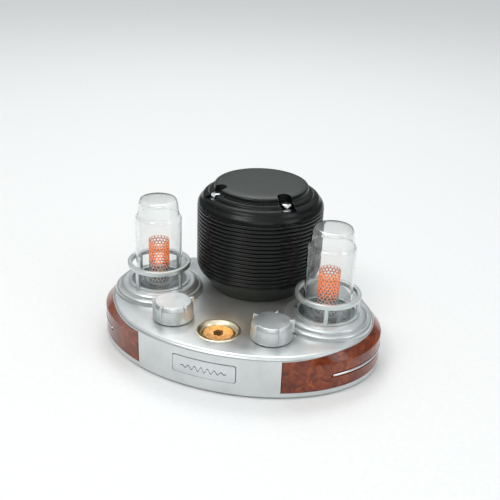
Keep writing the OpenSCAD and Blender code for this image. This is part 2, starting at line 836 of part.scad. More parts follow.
top_housing();
base_plate();
rubber_feet();
base_screws();
wood_panel_left();
wood_panel_right();
trim_strip_left();
trim_strip_right();
name_badge();
valve_base_left();
valve_base_right();
valve_cage_left();
valve_cage_right();
valve_glass_left();
valve_glass_right();
valve_mesh_left();
valve_mesh_right();
valve_lamp_left();
valve_lamp_right();
valve_screws();
can_collar();
can_body();
can_lid();
can_bolts();
collar_screws();
speaker_frame();
speaker_magnet();
speaker_cone();
speaker_surround();
volume_knob();
volume_shaft();
volume_pot();
tuning_knob();
tuning_shaft();
tuning_capacitor();
eye_bezel();
eye_lens();
eye_rosette();
power_switch();
power_plunger();
eye_leds();
main_board();
board_screws();
audio_chip();
tuner_chip();
board_capacitors();
ferrite_rod();
antenna_coil();
rod_clips();
rear_board();
dc_jack();
band_switch();
band_lever();
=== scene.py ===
"""The looks of a valve-styled tabletop radio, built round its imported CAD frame."""
import json
import math
import random

import bmesh
import bpy
from mathutils import Matrix, Vector


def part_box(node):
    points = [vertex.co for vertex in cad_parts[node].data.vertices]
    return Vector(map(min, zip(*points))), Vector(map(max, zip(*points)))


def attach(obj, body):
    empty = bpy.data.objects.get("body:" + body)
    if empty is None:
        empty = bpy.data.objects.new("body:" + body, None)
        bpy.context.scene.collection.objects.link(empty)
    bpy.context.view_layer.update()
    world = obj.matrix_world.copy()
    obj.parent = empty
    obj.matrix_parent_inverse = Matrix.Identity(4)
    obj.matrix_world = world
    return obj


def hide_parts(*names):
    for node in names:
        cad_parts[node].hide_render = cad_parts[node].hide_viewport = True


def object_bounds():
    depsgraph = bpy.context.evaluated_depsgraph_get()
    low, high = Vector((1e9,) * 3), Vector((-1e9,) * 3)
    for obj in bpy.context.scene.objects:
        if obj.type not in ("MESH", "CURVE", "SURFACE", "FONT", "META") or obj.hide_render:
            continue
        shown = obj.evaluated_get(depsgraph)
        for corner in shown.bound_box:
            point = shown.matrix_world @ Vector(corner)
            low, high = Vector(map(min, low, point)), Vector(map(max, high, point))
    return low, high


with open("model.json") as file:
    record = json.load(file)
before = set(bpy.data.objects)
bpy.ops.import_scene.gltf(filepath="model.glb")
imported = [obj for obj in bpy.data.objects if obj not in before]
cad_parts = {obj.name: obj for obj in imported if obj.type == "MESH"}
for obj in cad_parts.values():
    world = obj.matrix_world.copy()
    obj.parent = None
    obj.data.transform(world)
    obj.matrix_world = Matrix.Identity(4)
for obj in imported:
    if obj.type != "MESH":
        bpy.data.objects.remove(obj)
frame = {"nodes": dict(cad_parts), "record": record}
CAD_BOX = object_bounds()

MM = 0.001
TAU = 2 * math.pi
WHITE = (1.0, 1.0, 1.0)
SIDES = (("left", -1), ("right", 1))


# ---- places, read from the frame ----

class Round:
    """The axis, radius and heights of a round CAD node."""

    def __init__(self, node):
        low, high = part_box(node)
        self.centre = (low + high) / 2
        self.x = self.centre.x
        self.y = self.centre.y
        self.r = (high.x - low.x) / 2
        self.low = low.z
        self.top = high.z


HOUSING_LOW, HOUSING_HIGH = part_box("top_housing")
HALF_W = (HOUSING_HIGH.x - HOUSING_LOW.x) / 2
HALF_D = (HOUSING_HIGH.y - HOUSING_LOW.y) / 2
MID_Y = (HOUSING_HIGH.y + HOUSING_LOW.y) / 2
RIM_Z = HOUSING_LOW.z
TOP_Z = HOUSING_HIGH.z

PANEL_LOW, PANEL_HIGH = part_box("wood_panel_right")
PANEL_END = PANEL_LOW.x
TRIM_LOW, TRIM_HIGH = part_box("trim_strip_right")
TRIM_Z = (TRIM_LOW.z + TRIM_HIGH.z) / 2
BADGE_LOW, BADGE_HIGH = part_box("name_badge")
EYE = Round("eye_bezel")


# ---- mesh helpers ----

def linked(name, data):
    """A new object in the scene."""
    thing = bpy.data.objects.new(name, data)
    bpy.context.scene.collection.objects.link(thing)
    return thing


def to_piece(name, bm, smooth=35):
    """A clean mesh object from bm, with faces shaded smooth except across sharp edges."""
    bmesh.ops.remove_doubles(bm, verts=bm.verts, dist=1e-6)
    bmesh.ops.dissolve_degenerate(bm, edges=bm.edges, dist=1e-7)
    bmesh.ops.recalc_face_normals(bm, faces=bm.faces)
    mesh = bpy.data.meshes.new(name)
    bm.to_mesh(mesh)
    bm.free()
    piece = linked(name, mesh)
    shade(piece, smooth)
    return piece


def shade(piece, smooth):
    mesh = piece.data
    mesh.polygons.foreach_set("use_smooth", [True] * len(mesh.polygons))
    mesh.set_sharp_from_angle(angle=math.radians(smooth))


def settle(piece, smooth=35):
    """Applies the piece's modifiers to its mesh."""
    graph = bpy.context.evaluated_depsgraph_get()
    mesh = bpy.data.meshes.new_from_object(piece.evaluated_get(graph))
    piece.modifiers.clear()
    piece.data = mesh
    shade(piece, smooth)
    return piece


def carve(piece, cutters, operation="DIFFERENCE", smooth=35):
    """Cuts the cutters out of the piece, or joins them to it, and removes them."""
    for cutter in cutters:
        change = piece.modifiers.new("carve", "BOOLEAN")
        change.operation = operation
        change.solver = "EXACT"
        change.object = cutter
    settle(piece, smooth)
    for cutter in cutters:
        bpy.data.objects.remove(cutter)
    return piece


def soften(piece, width, segments=2, angle=40):
    """Rounds the piece's sharp edges."""
    change = piece.modifiers.new("soften", "BEVEL")
    change.width = width * MM
    change.segments = segments
    change.limit_method = "ANGLE"
    change.angle_limit = math.radians(angle)
    return settle(piece)


def fillet(points, radius, steps=5):
    """An outline in mm with its corners rounded, by one radius or by one for each point."""
    radii = radius if isinstance(radius, (list, tuple)) else [radius] * len(points)
    rounded = []
    count = len(points)
    for i, point in enumerate(points):
        here = Vector(point)
        before = Vector(points[i - 1]) - here
        after = Vector(points[(i + 1) % count]) - here
        reach = min(radii[i], before.length * 0.45, after.length * 0.45)
        if reach < 1e-4 or before.angle(after) > math.radians(178):
            rounded.append(tuple(here))
            continue
        start = here + before.normalized() * reach
        end = here + after.normalized() * reach
        for step in range(steps + 1):
            t = step / steps
            rounded.append(tuple(start * (1 - t) ** 2 + here * 2 * t * (1 - t) + end * t * t))
    return rounded


def skin(name, columns, ends, smooth=35):
    """A piece with faces between neighbouring columns of points, each of them a closed outline.

    Its ends are "joined" to each other, "capped", or left "open" where they shrink to a line.
    """
    bm = bmesh.new()
    made = [[bm.verts.new(point) for point in column] for column in columns]
    pairs = list(zip(made, made[1:]))
    if ends == "joined":
        pairs.append((made[-1], made[0]))
    for here, there in pairs:
        for j in range(len(here)):
            k = (j + 1) % len(here)
            bm.faces.new((here[j], there[j], there[k], here[k]))
    if ends == "capped":
        bm.faces.new(made[0])
        bm.faces.new(made[-1])
    return to_piece(name, bm, smooth)


def turned(name, outline, place, base, steps=160, smooth=35):
    """A piece made by turning an outline of (radius, height above base) in mm about the place's axis."""
    columns = []
    for i in range(steps):
        turn = TAU * i / steps
        across = math.cos(turn) * MM
        deep = math.sin(turn) * MM
        columns.append([(place.x + r * across, place.y + r * deep, base + z * MM) for r, z in outline])
    return skin(name, columns, "joined", smooth)


def block(name, size, matrix):
    """A box of the given size in mm, placed by a matrix."""
    bm = bmesh.new()
    scale = Matrix.Diagonal((size[0] * MM, size[1] * MM, size[2] * MM, 1))
    bmesh.ops.create_cube(bm, size=1, matrix=matrix @ scale)
    return to_piece(name, bm)


def rod(bm, radius, low, high, x, y, sides=48, top_radius=None):
    """An upright cylinder or cone; all sizes in metres."""
    bmesh.ops.create_cone(
        bm, cap_ends=True, segments=sides, radius1=radius,
        radius2=radius if top_radius is None else top_radius, depth=high - low,
        matrix=Matrix.Translation((x, y, (low + high) / 2)),
    )


def turned_to(angle, x=0, y=0, z=0):
    """A matrix that turns about the upright axis through (x, y)."""
    return Matrix.Translation((x, y, z)) @ Matrix.Rotation(angle, 4, "Z")


def coat(piece, *names):
    """Gives a piece finishes by name."""
    piece.data.materials.clear()
    for name in names:
        piece.data.materials.append(FINISHES[name])


def hand_in(piece, body, nodes, slot):
    """Gives a piece its slot's finish, if it has none, hangs it on the body it rides on, and hides the CAD
    nodes that it stands for.
    """
    if not any(piece.data.materials):
        coat(piece, slot)
    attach(piece, body)
    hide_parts(*nodes)
    return piece


# ---- procedural finishes ----

def fill_ramp(ramp, stops):
    """Sets a new ramp's stops, given as (position, (r, g, b)) pairs."""
    while len(ramp.elements) < len(stops):
        ramp.elements.new(0.5)
    for element, (position, colour) in zip(ramp.elements, stops):
        element.position = position
        element.color = (*colour, 1)


class Finish:
    """A node-based material: one Principled shader, with textures placed in the radio's own frame."""

    def __init__(self, name, **values):
        self.material = bpy.data.materials.new(name)
        self.material.use_nodes = True
        self.tree = self.material.node_tree
        self.shader = self.tree.nodes["Principled BSDF"]
        self.output = self.tree.nodes["Material Output"]
        self.where = self.node("ShaderNodeTexCoord").outputs["Object"]
        self.height = None
        for socket, value in values.items():
            self.shader.inputs[socket.replace("_", " ")].default_value = value

    def node(self, kind, **settings):
        made = self.tree.nodes.new(kind)
        for name, value in settings.items():
            setattr(made, name, value)
        return made

    def feed(self, made, **inputs):
        for name, value in inputs.items():
            key = int(name[1:]) if name[0] == "_" else name.replace("_", " ")
            socket = made.inputs[key]
            if isinstance(value, bpy.types.NodeSocket):
                self.tree.links.new(value, socket)
            else:
                socket.default_value = value
        return made

    def stretched(self, factors):
        """The frame's coordinates, stretched to give textures a direction."""
        made = self.node("ShaderNodeMapping")
        return self.feed(made, Vector=self.where, Scale=factors).outputs[0]

    def noise(self, scale, detail=3.0, roughness=0.5, distortion=0.0, where=None):
        made = self.node("ShaderNodeTexNoise")
        self.feed(made, Vector=where or self.where, Scale=scale, Detail=detail,
                  Roughness=roughness, Distortion=distortion)
        return made.outputs["Fac"]

    def cells(self, scale, where=None):
        made = self.node("ShaderNodeTexVoronoi")
        self.feed(made, Vector=where or self.where, Scale=scale)
        return made.outputs["Distance"]

    def spread(self, value, low, high, from_low=0.0, from_high=1.0):
        """A value from one range carried into another."""
        made = self.node("ShaderNodeMapRange")
        self.feed(made, _0=value, _1=from_low, _2=from_high, _3=low, _4=high)
        return made.outputs[0]

    def sum(self, first, second):
        made = self.node("ShaderNodeMath", operation="ADD")
        self.feed(made, _0=first, _1=second)
        return made.outputs[0]

    def axis(self, index):
        """One of the frame's coordinates, in metres."""
        made = self.node("ShaderNodeSeparateXYZ")
        self.feed(made, _0=self.where)
        return made.outputs[index]

    def ramp(self, value, *stops):
        """Colours along a value, as (position, (r, g, b)) pairs."""
        made = self.node("ShaderNodeValToRGB")
        self.feed(made, Fac=value)
        fill_ramp(made.color_ramp, stops)
        return made.outputs[0]

    def blend(self, factor, first, second, mode="MIX"):
        made = self.node("ShaderNodeMix", data_type="RGBA", blend_type=mode)
        first = (*first, 1) if isinstance(first, tuple) else first
        second = (*second, 1) if isinstance(second, tuple) else second
        self.feed(made, _0=factor, _6=first, _7=second)
        return made.outputs[2]

    def shaded(self, factor, colour, value, *stops):
        """A colour multiplied, as far as the factor says, by a ramp along a value."""
        return self.blend(factor, colour, self.ramp(value, *stops), "MULTIPLY")

    def set(self, **links):
        self.feed(self.shader, **links)

    def bump(self, height, distance, strength=1.0):
        """Relief of up to distance in mm, added to any that is already there."""
        made = self.node("ShaderNodeBump")
        self.feed(made, Height=height, Distance=distance * MM, Strength=strength)
        if self.height is not None:
            self.tree.links.new(self.height, made.inputs["Normal"])
        self.height = made.outputs[0]
        self.tree.links.new(self.height, self.shader.inputs["Normal"])


def painted_silver(name, colour, metal, rough, flake=0.012, peel=0.02):
    """Satin silver lacquer with fine metal flake, faint orange peel and cloudy wear."""
    finish = Finish(name, Metallic=metal, Coat_Weight=0.08, Coat_Roughness=0.25)
    flakes = finish.noise(5200, 2.0, 0.6)
    clouds = finish.noise(38, 4.0, 0.6)
    light = tuple(min(1.0, c * 1.06) for c in colour)
    shadow = tuple(c * 0.9 for c in colour)
    base = finish.ramp(clouds, (0.3, shadow), (0.7, light))
    sparkle = finish.spread(flakes, 0.9, 1.1, 0.3, 0.7)
    finish.set(
        Base_Color=finish.shaded(1.0, base, sparkle, (0.0, (0.86,) * 3), (1.0, WHITE)),
        Roughness=finish.spread(finish.noise(90, 5.0), rough - 0.05, rough + 0.07, 0.3, 0.7),
    )
    finish.bump(flakes, flake, 0.35)
    finish.bump(finish.noise(620, 2.0), peel, 0.25)
    return finish.material


def burl():
    """Lacquered red burl: a fine swirling figure with small eyes and pores, under a clear coat."""
    finish = Finish("burl", Coat_Weight=0.8, Coat_Roughness=0.13, Coat_IOR=1.5, Specular_IOR_Level=0.15)
    swirl = finish.node("ShaderNodeTexNoise")
    finish.feed(swirl, Vector=finish.where, Scale=60.0, Detail=3.0)
    warp = finish.node("ShaderNodeVectorMath", operation="MULTIPLY_ADD")
    finish.feed(warp, _0=swirl.outputs["Color"], _1=(0.022, 0.022, 0.022), _2=finish.where)
    warped = warp.outputs[0]
    figure = finish.noise(115, 10.0, 0.6, 1.1, warped)
    colour = finish.ramp(
        figure,
        (0.27, (0.060, 0.009, 0.003)),
        (0.41, (0.175, 0.025, 0.006)),
        (0.52, (0.275, 0.045, 0.009)),
        (0.62, (0.400, 0.090, 0.016)),
        (0.76, (0.220, 0.034, 0.008)),
    )
    clouds = finish.noise(34, 3.0, 0.5, 0.0, warped)
    colour = finish.shaded(0.6, colour, clouds, (0.36, (0.45, 0.38, 0.36)), (0.6, WHITE))
    eyes = finish.spread(finish.cells(290, warped), 0.35, 1.0, 0.06, 0.24)
    colour = finish.shaded(0.5, colour, eyes, (0.0, (0.16, 0.08, 0.05)), (1.0, WHITE))
    pores = finish.noise(1100, 4.0, 0.7, 0.0, finish.stretched((1.0, 1.0, 0.35)))
    colour = finish.shaded(0.45, colour, pores, (0.35, (0.6, 0.52, 0.5)), (0.6, WHITE))
    finish.set(Base_Color=colour, Roughness=finish.spread(figure, 0.25, 0.45))
    finish.bump(pores, 0.008, 0.2)
    return finish.material


def chrome(name="chrome", colour=(0.83, 0.84, 0.86), rough=0.08):
    """Polished metal with hairline scratches."""
    finish = Finish(name, Metallic=1.0)
    lines = finish.noise(700, 6.0, 0.7, 0.0, finish.stretched((1.0, 1.0, 6.0)))
    shadow = tuple(c * 0.86 for c in colour)
    finish.set(
        Base_Color=finish.ramp(finish.noise(60, 3.0), (0.3, shadow), (0.7, colour)),
        Roughness=finish.spread(lines, rough, rough + 0.12, 0.35, 0.75),
    )
    finish.bump(lines, 0.004, 0.3)
    return finish.material


def brass(name, bright, shadow, rough):
    """Turned brass, with tool rings about the push button's axis and slight tarnish."""
    finish = Finish(name, Metallic=1.0)
    centred = finish.node("ShaderNodeMapping")
    finish.feed(centred, Vector=finish.where, Location=(-EYE.x, -EYE.y, 0), Scale=(1, 1, 0))
    rings = finish.node("ShaderNodeTexWave", wave_type="RINGS", rings_direction="SPHERICAL")
    finish.feed(rings, Vector=centred.outputs[0], Scale=900.0, Distortion=0.6, Detail=2.0)
    tarnish = finish.noise(170, 5.0, 0.6)
    finish.set(
        Base_Color=finish.ramp(tarnish, (0.32, shadow), (0.62, bright)),
        Roughness=finish.spread(tarnish, rough + 0.12, rough, 0.35, 0.6),
    )
    finish.bump(rings.outputs["Fac"], 0.006, 0.35)
    return finish.material


def moulded(name, colour, rough, grain=1400, relief=0.02, wear=0.35, spec=0.5):
    """Moulded plastic with a spark-eroded grain, a little dust and rubbed patches."""
    finish = Finish(name, Specular_IOR_Level=spec)
    speckle = finish.noise(grain, 3.0, 0.6)
    dust = finish.noise(55, 6.0, 0.65)
    light = tuple(c + (0.5 - c) * 0.07 * wear for c in colour)
    finish.set(
        Base_Color=finish.ramp(dust, (0.38, colour), (0.72, light)),
        Roughness=finish.spread(dust, rough - 0.06, rough + 0.08, 0.3, 0.7),
    )
    finish.bump(speckle, relief, 0.4)
    return finish.material


def clear_glass():
    """Thin clear glass with faint smears, through which the lamps still light what is behind."""
    finish = Finish("glass", Base_Color=(0.95, 0.962, 0.958, 1), Transmission_Weight=1.0, IOR=1.5)
    smears = finish.noise(70, 5.0, 0.6, 0.8, finish.stretched((1.0, 1.0, 0.4)))
    finish.set(Roughness=finish.spread(smears, 0.0, 0.05, 0.45, 0.8))
    finish.bump(finish.noise(45, 2.0), 0.05, 0.15)
    through = finish.node("ShaderNodeBsdfTransparent").outputs[0]
    shadow = finish.node("ShaderNodeLightPath").outputs["Is Shadow Ray"]
    mixed = finish.node("ShaderNodeMixShader")
    finish.feed(mixed, _0=shadow, _1=finish.shader.outputs[0], _2=through)
    finish.tree.links.new(mixed.outputs[0], finish.output.inputs["Surface"])
    return finish.material


def painted_glow_mesh(name, low, top, strength, foot=0.46):
    """Perforated plate with a painted glow: orange emission standing in for the lamp inside, grey as
    bright as foot below, and paler at the top.
    """
    finish = Finish(name, Metallic=0.3, Emission_Strength=strength)
    grade = finish.spread(finish.axis(2), 0.0, 1.0, low, top)
    patchy = finish.sum(grade, finish.spread(finish.noise(330, 3.0), -0.07, 0.07, 0.3, 0.7))
    # painted glow: emission from pale grey at the foot through orange to paler at the top, for the lamp's
    # light inside the tube
    lit = finish.ramp(
        patchy,
        (0.30, (foot * 0.2, foot * 0.2, foot * 0.21)),
        (0.42, (0.40, 0.09, 0.03)),
        (0.56, (0.95, 0.18, 0.022)),
        (0.80, (1.0, 0.22, 0.03)),
        (0.97, (0.92, 0.32, 0.09)),
    )
    grey = (foot, foot * 1.02, foot * 1.03)
    finish.set(
        Base_Color=finish.ramp(patchy, (0.30, grey), (0.48, (0.42, 0.10, 0.03))),
        Emission_Color=lit,
        Roughness=finish.spread(finish.noise(900, 3.0), 0.35, 0.55),
    )
    finish.bump(finish.noise(1800, 2.0), 0.01, 0.3)
    return finish.material


def amber(name, strength):
    """Frosted amber plastic with a hammered and mottled texture, and a painted glow for the lamp below it.
    """
    finish = Finish(name, Emission_Strength=strength, Coat_Weight=0.4, Coat_Roughness=0.2)
    dimples = finish.cells(620)
    mottle = finish.noise(420, 5.0, 0.7, 0.6)
    colour = finish.ramp(
        mottle, (0.32, (0.17, 0.09, 0.032)), (0.5, (0.33, 0.205, 0.09)), (0.68, (0.52, 0.38, 0.21)),
    )
    # painted glow: emission in the disc's own colours, varied by the dimples, for the lamp beneath
    finish.set(
        Base_Color=colour,
        Emission_Color=finish.shaded(0.6, colour, dimples, (0.0, WHITE), (0.7, (0.45, 0.32, 0.2))),
        Roughness=finish.spread(mottle, 0.3, 0.5),
    )
    finish.bump(dimples, 0.12, 0.5)
    return finish.material


def lamp_on_board(low):
    """A small amber lamp, lit faintly, on a grey board."""
    finish = Finish("lamp", Emission_Strength=0.15)
    up = finish.spread(finish.axis(2), 0.0, 1.0, low + 2.6 * MM, low + 3.4 * MM)
    speckle = finish.noise(1100, 4.0, 0.6)
    board = finish.ramp(speckle, (0.35, (0.16, 0.175, 0.18)), (0.65, (0.24, 0.26, 0.265)))
    dome = finish.ramp(speckle, (0.3, (0.34, 0.20, 0.10)), (0.7, (0.42, 0.27, 0.15)))
    finish.set(
        Base_Color=finish.blend(up, board, dome),
        Emission_Color=finish.blend(up, (0.0, 0.0, 0.0), (0.9, 0.35, 0.1)),
        Roughness=finish.spread(speckle, 0.3, 0.45),
    )
    finish.bump(speckle, 0.01, 0.3)
    return finish.material


def circuit_green():
    """Solder mask over copper tracks and pads."""
    finish = Finish("circuit_green", Coat_Weight=0.3, Coat_Roughness=0.2, Roughness=0.35)
    tracks = finish.node("ShaderNodeTexBrick", offset=0.37, squash=1.4)
    flat = finish.stretched((1.0, 1.0, 0.0))
    finish.feed(tracks, Vector=flat, Scale=150.0, Mortar_Size=0.06, Mortar_Smooth=0.2)
    pads = finish.spread(finish.cells(230), 1.0, 0.0, 0.16, 0.2)
    mask = finish.ramp(tracks.outputs["Fac"], (0.2, (0.012, 0.09, 0.035)), (0.8, (0.03, 0.19, 0.075)))
    finish.set(Base_Color=finish.blend(pads, mask, (0.62, 0.6, 0.52)))
    finish.bump(tracks.outputs["Fac"], 0.04, 0.4)
    return finish.material


def wound_copper():
    """Enamelled wire wound in tight turns along X."""
    finish = Finish("wound_copper", Metallic=1.0)
    turns = finish.node("ShaderNodeTexWave", bands_direction="X")
    finish.feed(turns, Vector=finish.where, Scale=640.0, Distortion=0.3)
    wire = turns.outputs["Fac"]
    finish.set(
        Base_Color=finish.ramp(wire, (0.1, (0.16, 0.05, 0.02)), (0.7, (0.75, 0.33, 0.14))),
        Roughness=finish.spread(finish.noise(800), 0.25, 0.4),
    )
    finish.bump(wire, 0.15, 0.6)
    return finish.material


def pressed_paper():
    """Black pressed paper with long fibres."""
    finish = Finish("pressed_paper", Specular_IOR_Level=0.25)
    fibres = finish.noise(1500, 8.0, 0.75, 1.5)
    finish.set(
        Base_Color=finish.ramp(fibres, (0.3, (0.02, 0.02, 0.021)), (0.7, (0.07, 0.068, 0.066))),
        Roughness=finish.spread(fibres, 0.75, 0.95),
    )
    finish.bump(fibres, 0.08, 0.5)
    return finish.material


TUBE = Round("valve_mesh_left")
FINISHES = {    # by slot in the record, and at the end those of pieces that have a finish of their own
    "silver_paint": painted_silver("silver_paint", (0.68, 0.71, 0.71), 0.85, 0.34),
    "badge_plate": painted_silver("badge_plate", (0.68, 0.71, 0.72), 0.85, 0.3),
    "burl_wood": burl(),
    "chrome_trim": chrome(),
    "cage_silver": painted_silver("cage_silver", (0.64, 0.69, 0.69), 0.85, 0.32),
    "clear_glass": clear_glass(),
    "glow_mesh": painted_glow_mesh("glow_mesh", TUBE.low, TUBE.top, 0.85),
    "lamp": lamp_on_board(Round("valve_lamp_left").low),
    "black_ribs": moulded("black_ribs", (0.002, 0.003, 0.003), 0.2, 1400, 0.005, 0.03, 0.34),
    "black_lid": moulded("black_lid", (0.003, 0.004, 0.004), 0.24, 1400, 0.006, 0.04, 0.26),
    "knob_silver": painted_silver("knob_silver", (0.70, 0.73, 0.73), 0.88, 0.38, 0.002, 0.001),
    "brass_bezel": brass("brass", (0.95, 0.88, 0.68), (0.80, 0.70, 0.46), 0.28),
    "amber_lens": amber("amber_lens", 0.05),
    "dark_bronze": brass("dark_bronze", (0.22, 0.12, 0.04), (0.05, 0.025, 0.01), 0.24),
    "rubber_feet": moulded("rubber", (0.022, 0.022, 0.022), 0.75, 900, 0.04),
    "base_plastic": moulded("base_plastic", (0.03, 0.032, 0.033), 0.55, 1100, 0.05),
    "screw_steel": chrome("screw_steel", (0.6, 0.61, 0.62), 0.28),
    "magnet_iron": moulded("magnet_iron", (0.06, 0.06, 0.065), 0.5, 700, 0.08),
    "paper_cone": pressed_paper(),
    "surround_rubber": moulded("surround_rubber", (0.018, 0.018, 0.018), 0.6, 1600, 0.02),
    "circuit_board": circuit_green(),
    "black_component": moulded("component_black", (0.025, 0.025, 0.027), 0.4, 1900, 0.015),
    "ferrite": moulded("ferrite", (0.05, 0.05, 0.055), 0.65, 1300, 0.03),
    "copper_wire": wound_copper(),
    "pale_plastic": moulded("pale_plastic", (0.72, 0.71, 0.66), 0.4, 1500, 0.015),
    # painted shade for the pedestal floor inside each cage
    "painted_shade_floor": painted_silver("painted_shade_floor", (0.34, 0.38, 0.39), 0.9, 0.22),
    # the lid's top disc: rougher than the lid, which is its own finish, and lighter, which is painted
    # light
    "black_disc_painted_light": moulded("black_disc_painted_light", (0.030, 0.037, 0.032), 0.42, 1400, 0.008, 0.04),
    "black_neck": moulded("black_neck", (0.013, 0.018, 0.016), 0.36, 1400, 0.008, 0.04),
    # painted shade: a darker, dimmer copy of the painted glow for the tubes' inner face
    "mesh_inside_painted_shade": painted_glow_mesh("glow_mesh_inside", TUBE.low, TUBE.top, 0.16, 0.02),
}


# ---- plinth ----

LIP_FRONT = (4.0, 2.8)       # width and height in mm of the rounded lip along the front and the back
LIP_SIDE = (2.6, 1.6)        # the same over the panels
BEVEL_IN = (6.4, 1.5)        # how far the top plate's oval is inside the plinth's, in mm
CREASE_DROP = 7.8            # depth of the panels' crease below the top face
CREASE_RUN = 14.0            # distance in mm from a panel's end over which its crease falls
RIM_RUN = 42.0               # distance in mm from a panel's end over which the rim draws in
PANEL_T = 3.0                # thickness in mm of the panels
SEAT_DROP = 1.6              # how far in mm a panel's back and its seat end below the crease
END_GAP = 0.5                # shadow gap in mm at a panel's ends
LEDGE = 3.4                  # height in mm of the ledge under the panels above the lower rim
ROOF_T = 3.0                 # thickness in mm of the housing's top
EYE_HOLE_R = 16.05           # in mm, round the push button's bezel
BACK_HOLE_Z = 12.4           # height in mm of the jack and the lever above the lower rim
LEVER_TRAVEL = 4.0           # in mm
SECTORS = ((0, True), (1, False), (2, True), (3, False))    # quarter turns; True where a panel sits


def oval(inset_w, inset_d, quarter, is_side, t, end=PANEL_END):
    """A point on an oval inside the plinth's by the insets in mm; t is -1 to 1 along one sector."""
    half_w = HALF_W - inset_w * MM
    half_d = HALF_D - inset_d * MM
    reach = math.acos(end / half_w)
    if not is_side:
        reach = math.pi / 2 - reach
    angle = quarter * math.pi / 2 + reach * t
    return Vector((half_w * math.cos(angle), MID_Y + half_d * math.sin(angle), 0))


def ease(value):
    value = min(1.0, max(0.0, value))
    return value * value * (3 - 2 * value)


class Edge:
    """The plinth's edge at one place round it: the outer wall, the top plate's rim and the crease."""

    def __init__(self, quarter, is_side, t, end=PANEL_END):
        self.at = lambda inset_w, inset_d: oval(inset_w, inset_d, quarter, is_side, t, end)
        self.wall = self.at(0, 0)
        along = (abs(self.wall.x) - PANEL_END) / MM if is_side else 0.0
        drawn_in = ease(along / RIM_RUN)
        self.rim = self.wall.lerp(self.at(*BEVEL_IN), drawn_in)
        self.inward = (Vector((0, MID_Y, 0)) - self.rim).normalized()
        self.lip_w = (LIP_FRONT[0] + (LIP_SIDE[0] - LIP_FRONT[0]) * drawn_in) * MM
        self.lip_h = (LIP_FRONT[1] + (LIP_SIDE[1] - LIP_FRONT[1]) * drawn_in) * MM
        self.under_lip = TOP_Z - self.lip_h
        self.grown = ease(along / CREASE_RUN)
        self.crease = TOP_Z - CREASE_DROP * MM * self.grown - self.lip_h * (1 - self.grown)


def raised(point, z):
    return Vector((point.x, point.y, z))


def housing_column(edge, is_side):
    """The housing's section, from the flat of its top face over the lip, down and back inside."""
    column = []
    for step in range(9):
        angle = math.pi / 2 * (1 - step / 8)
        out = edge.rim + edge.inward * edge.lip_w * (1 - math.cos(angle))
        column.append(raised(out, edge.under_lip + edge.lip_h * math.sin(angle)))
    back = edge.at(PANEL_T + 0.1, PANEL_T + 0.1)
    ledge_z = RIM_Z + LEDGE * MM
    if is_side:
        column.append(raised(edge.rim + edge.inward * 1.5 * MM, edge.under_lip))
        column.append(raised(back, edge.crease - SEAT_DROP * MM))
        column.append(raised(back, ledge_z))
        column.append(raised(edge.at(0.5, 0.5), ledge_z))
    else:
        for z in (edge.under_lip - 0.5 * MM, edge.crease - SEAT_DROP * MM, ledge_z + 1.2 * MM, ledge_z):
            column.append(raised(edge.wall, z))
    foot_r = 0.7
    for step in range(5):
        angle = math.pi / 2 * step / 4
        inset = foot_r * (1 - math.cos(angle))
        column.append(raised(edge.at(inset, inset), RIM_Z + foot_r * MM * (1 - math.sin(angle))))
    column.append(raised(edge.at(6, 6), RIM_Z))
    column.append(raised(edge.at(6.4, 6.4), RIM_Z + 18 * MM))
    column.append(raised(edge.at(9, 8), RIM_Z + 20 * MM))
    column.append(raised(edge.at(12, 9), TOP_Z - ROOF_T * MM))
    return column


def on_front(x, depth, z):
    """A point of the front wall, depth mm inside it."""
    share = x / (HALF_W - depth * MM)
    return (x, MID_Y - (HALF_D - depth * MM) * math.sqrt(1 - share * share), z)


def badge_cutter(name, grow, low, high, shift=(0, 0)):
    """A rounded block along the front wall between two depths in mm; shift moves it right and up."""
    half_w = (BADGE_HIGH.x - BADGE_LOW.x) / 2 + grow * MM
    half_h = (BADGE_HIGH.z - BADGE_LOW.z) / 2 + grow * MM
    mid_z = (BADGE_LOW.z + BADGE_HIGH.z) / 2 + shift[1] * MM
    corner = 2 * MM
    columns = []
    marks = [-half_w + corner * (1 - math.cos(math.pi / 2 * i / 6)) for i in range(7)]
    marks += [-half_w + corner + (2 * half_w - 2 * corner) * i / 40 for i in range(1, 40)]
    marks += [-m for m in reversed(marks[:7])]
    for x in marks:
        beyond = max(0.0, abs(x) - (half_w - corner))
        half = half_h - corner + math.sqrt(max(0.0, corner ** 2 - beyond ** 2))
        there = x + shift[0] * MM
        corners = ((low, -1), (low, 1), (high, 1), (high, -1))
        columns.append([on_front(there, depth, mid_z + sign * half) for depth, sign in corners])
    return skin(name, columns, "capped")


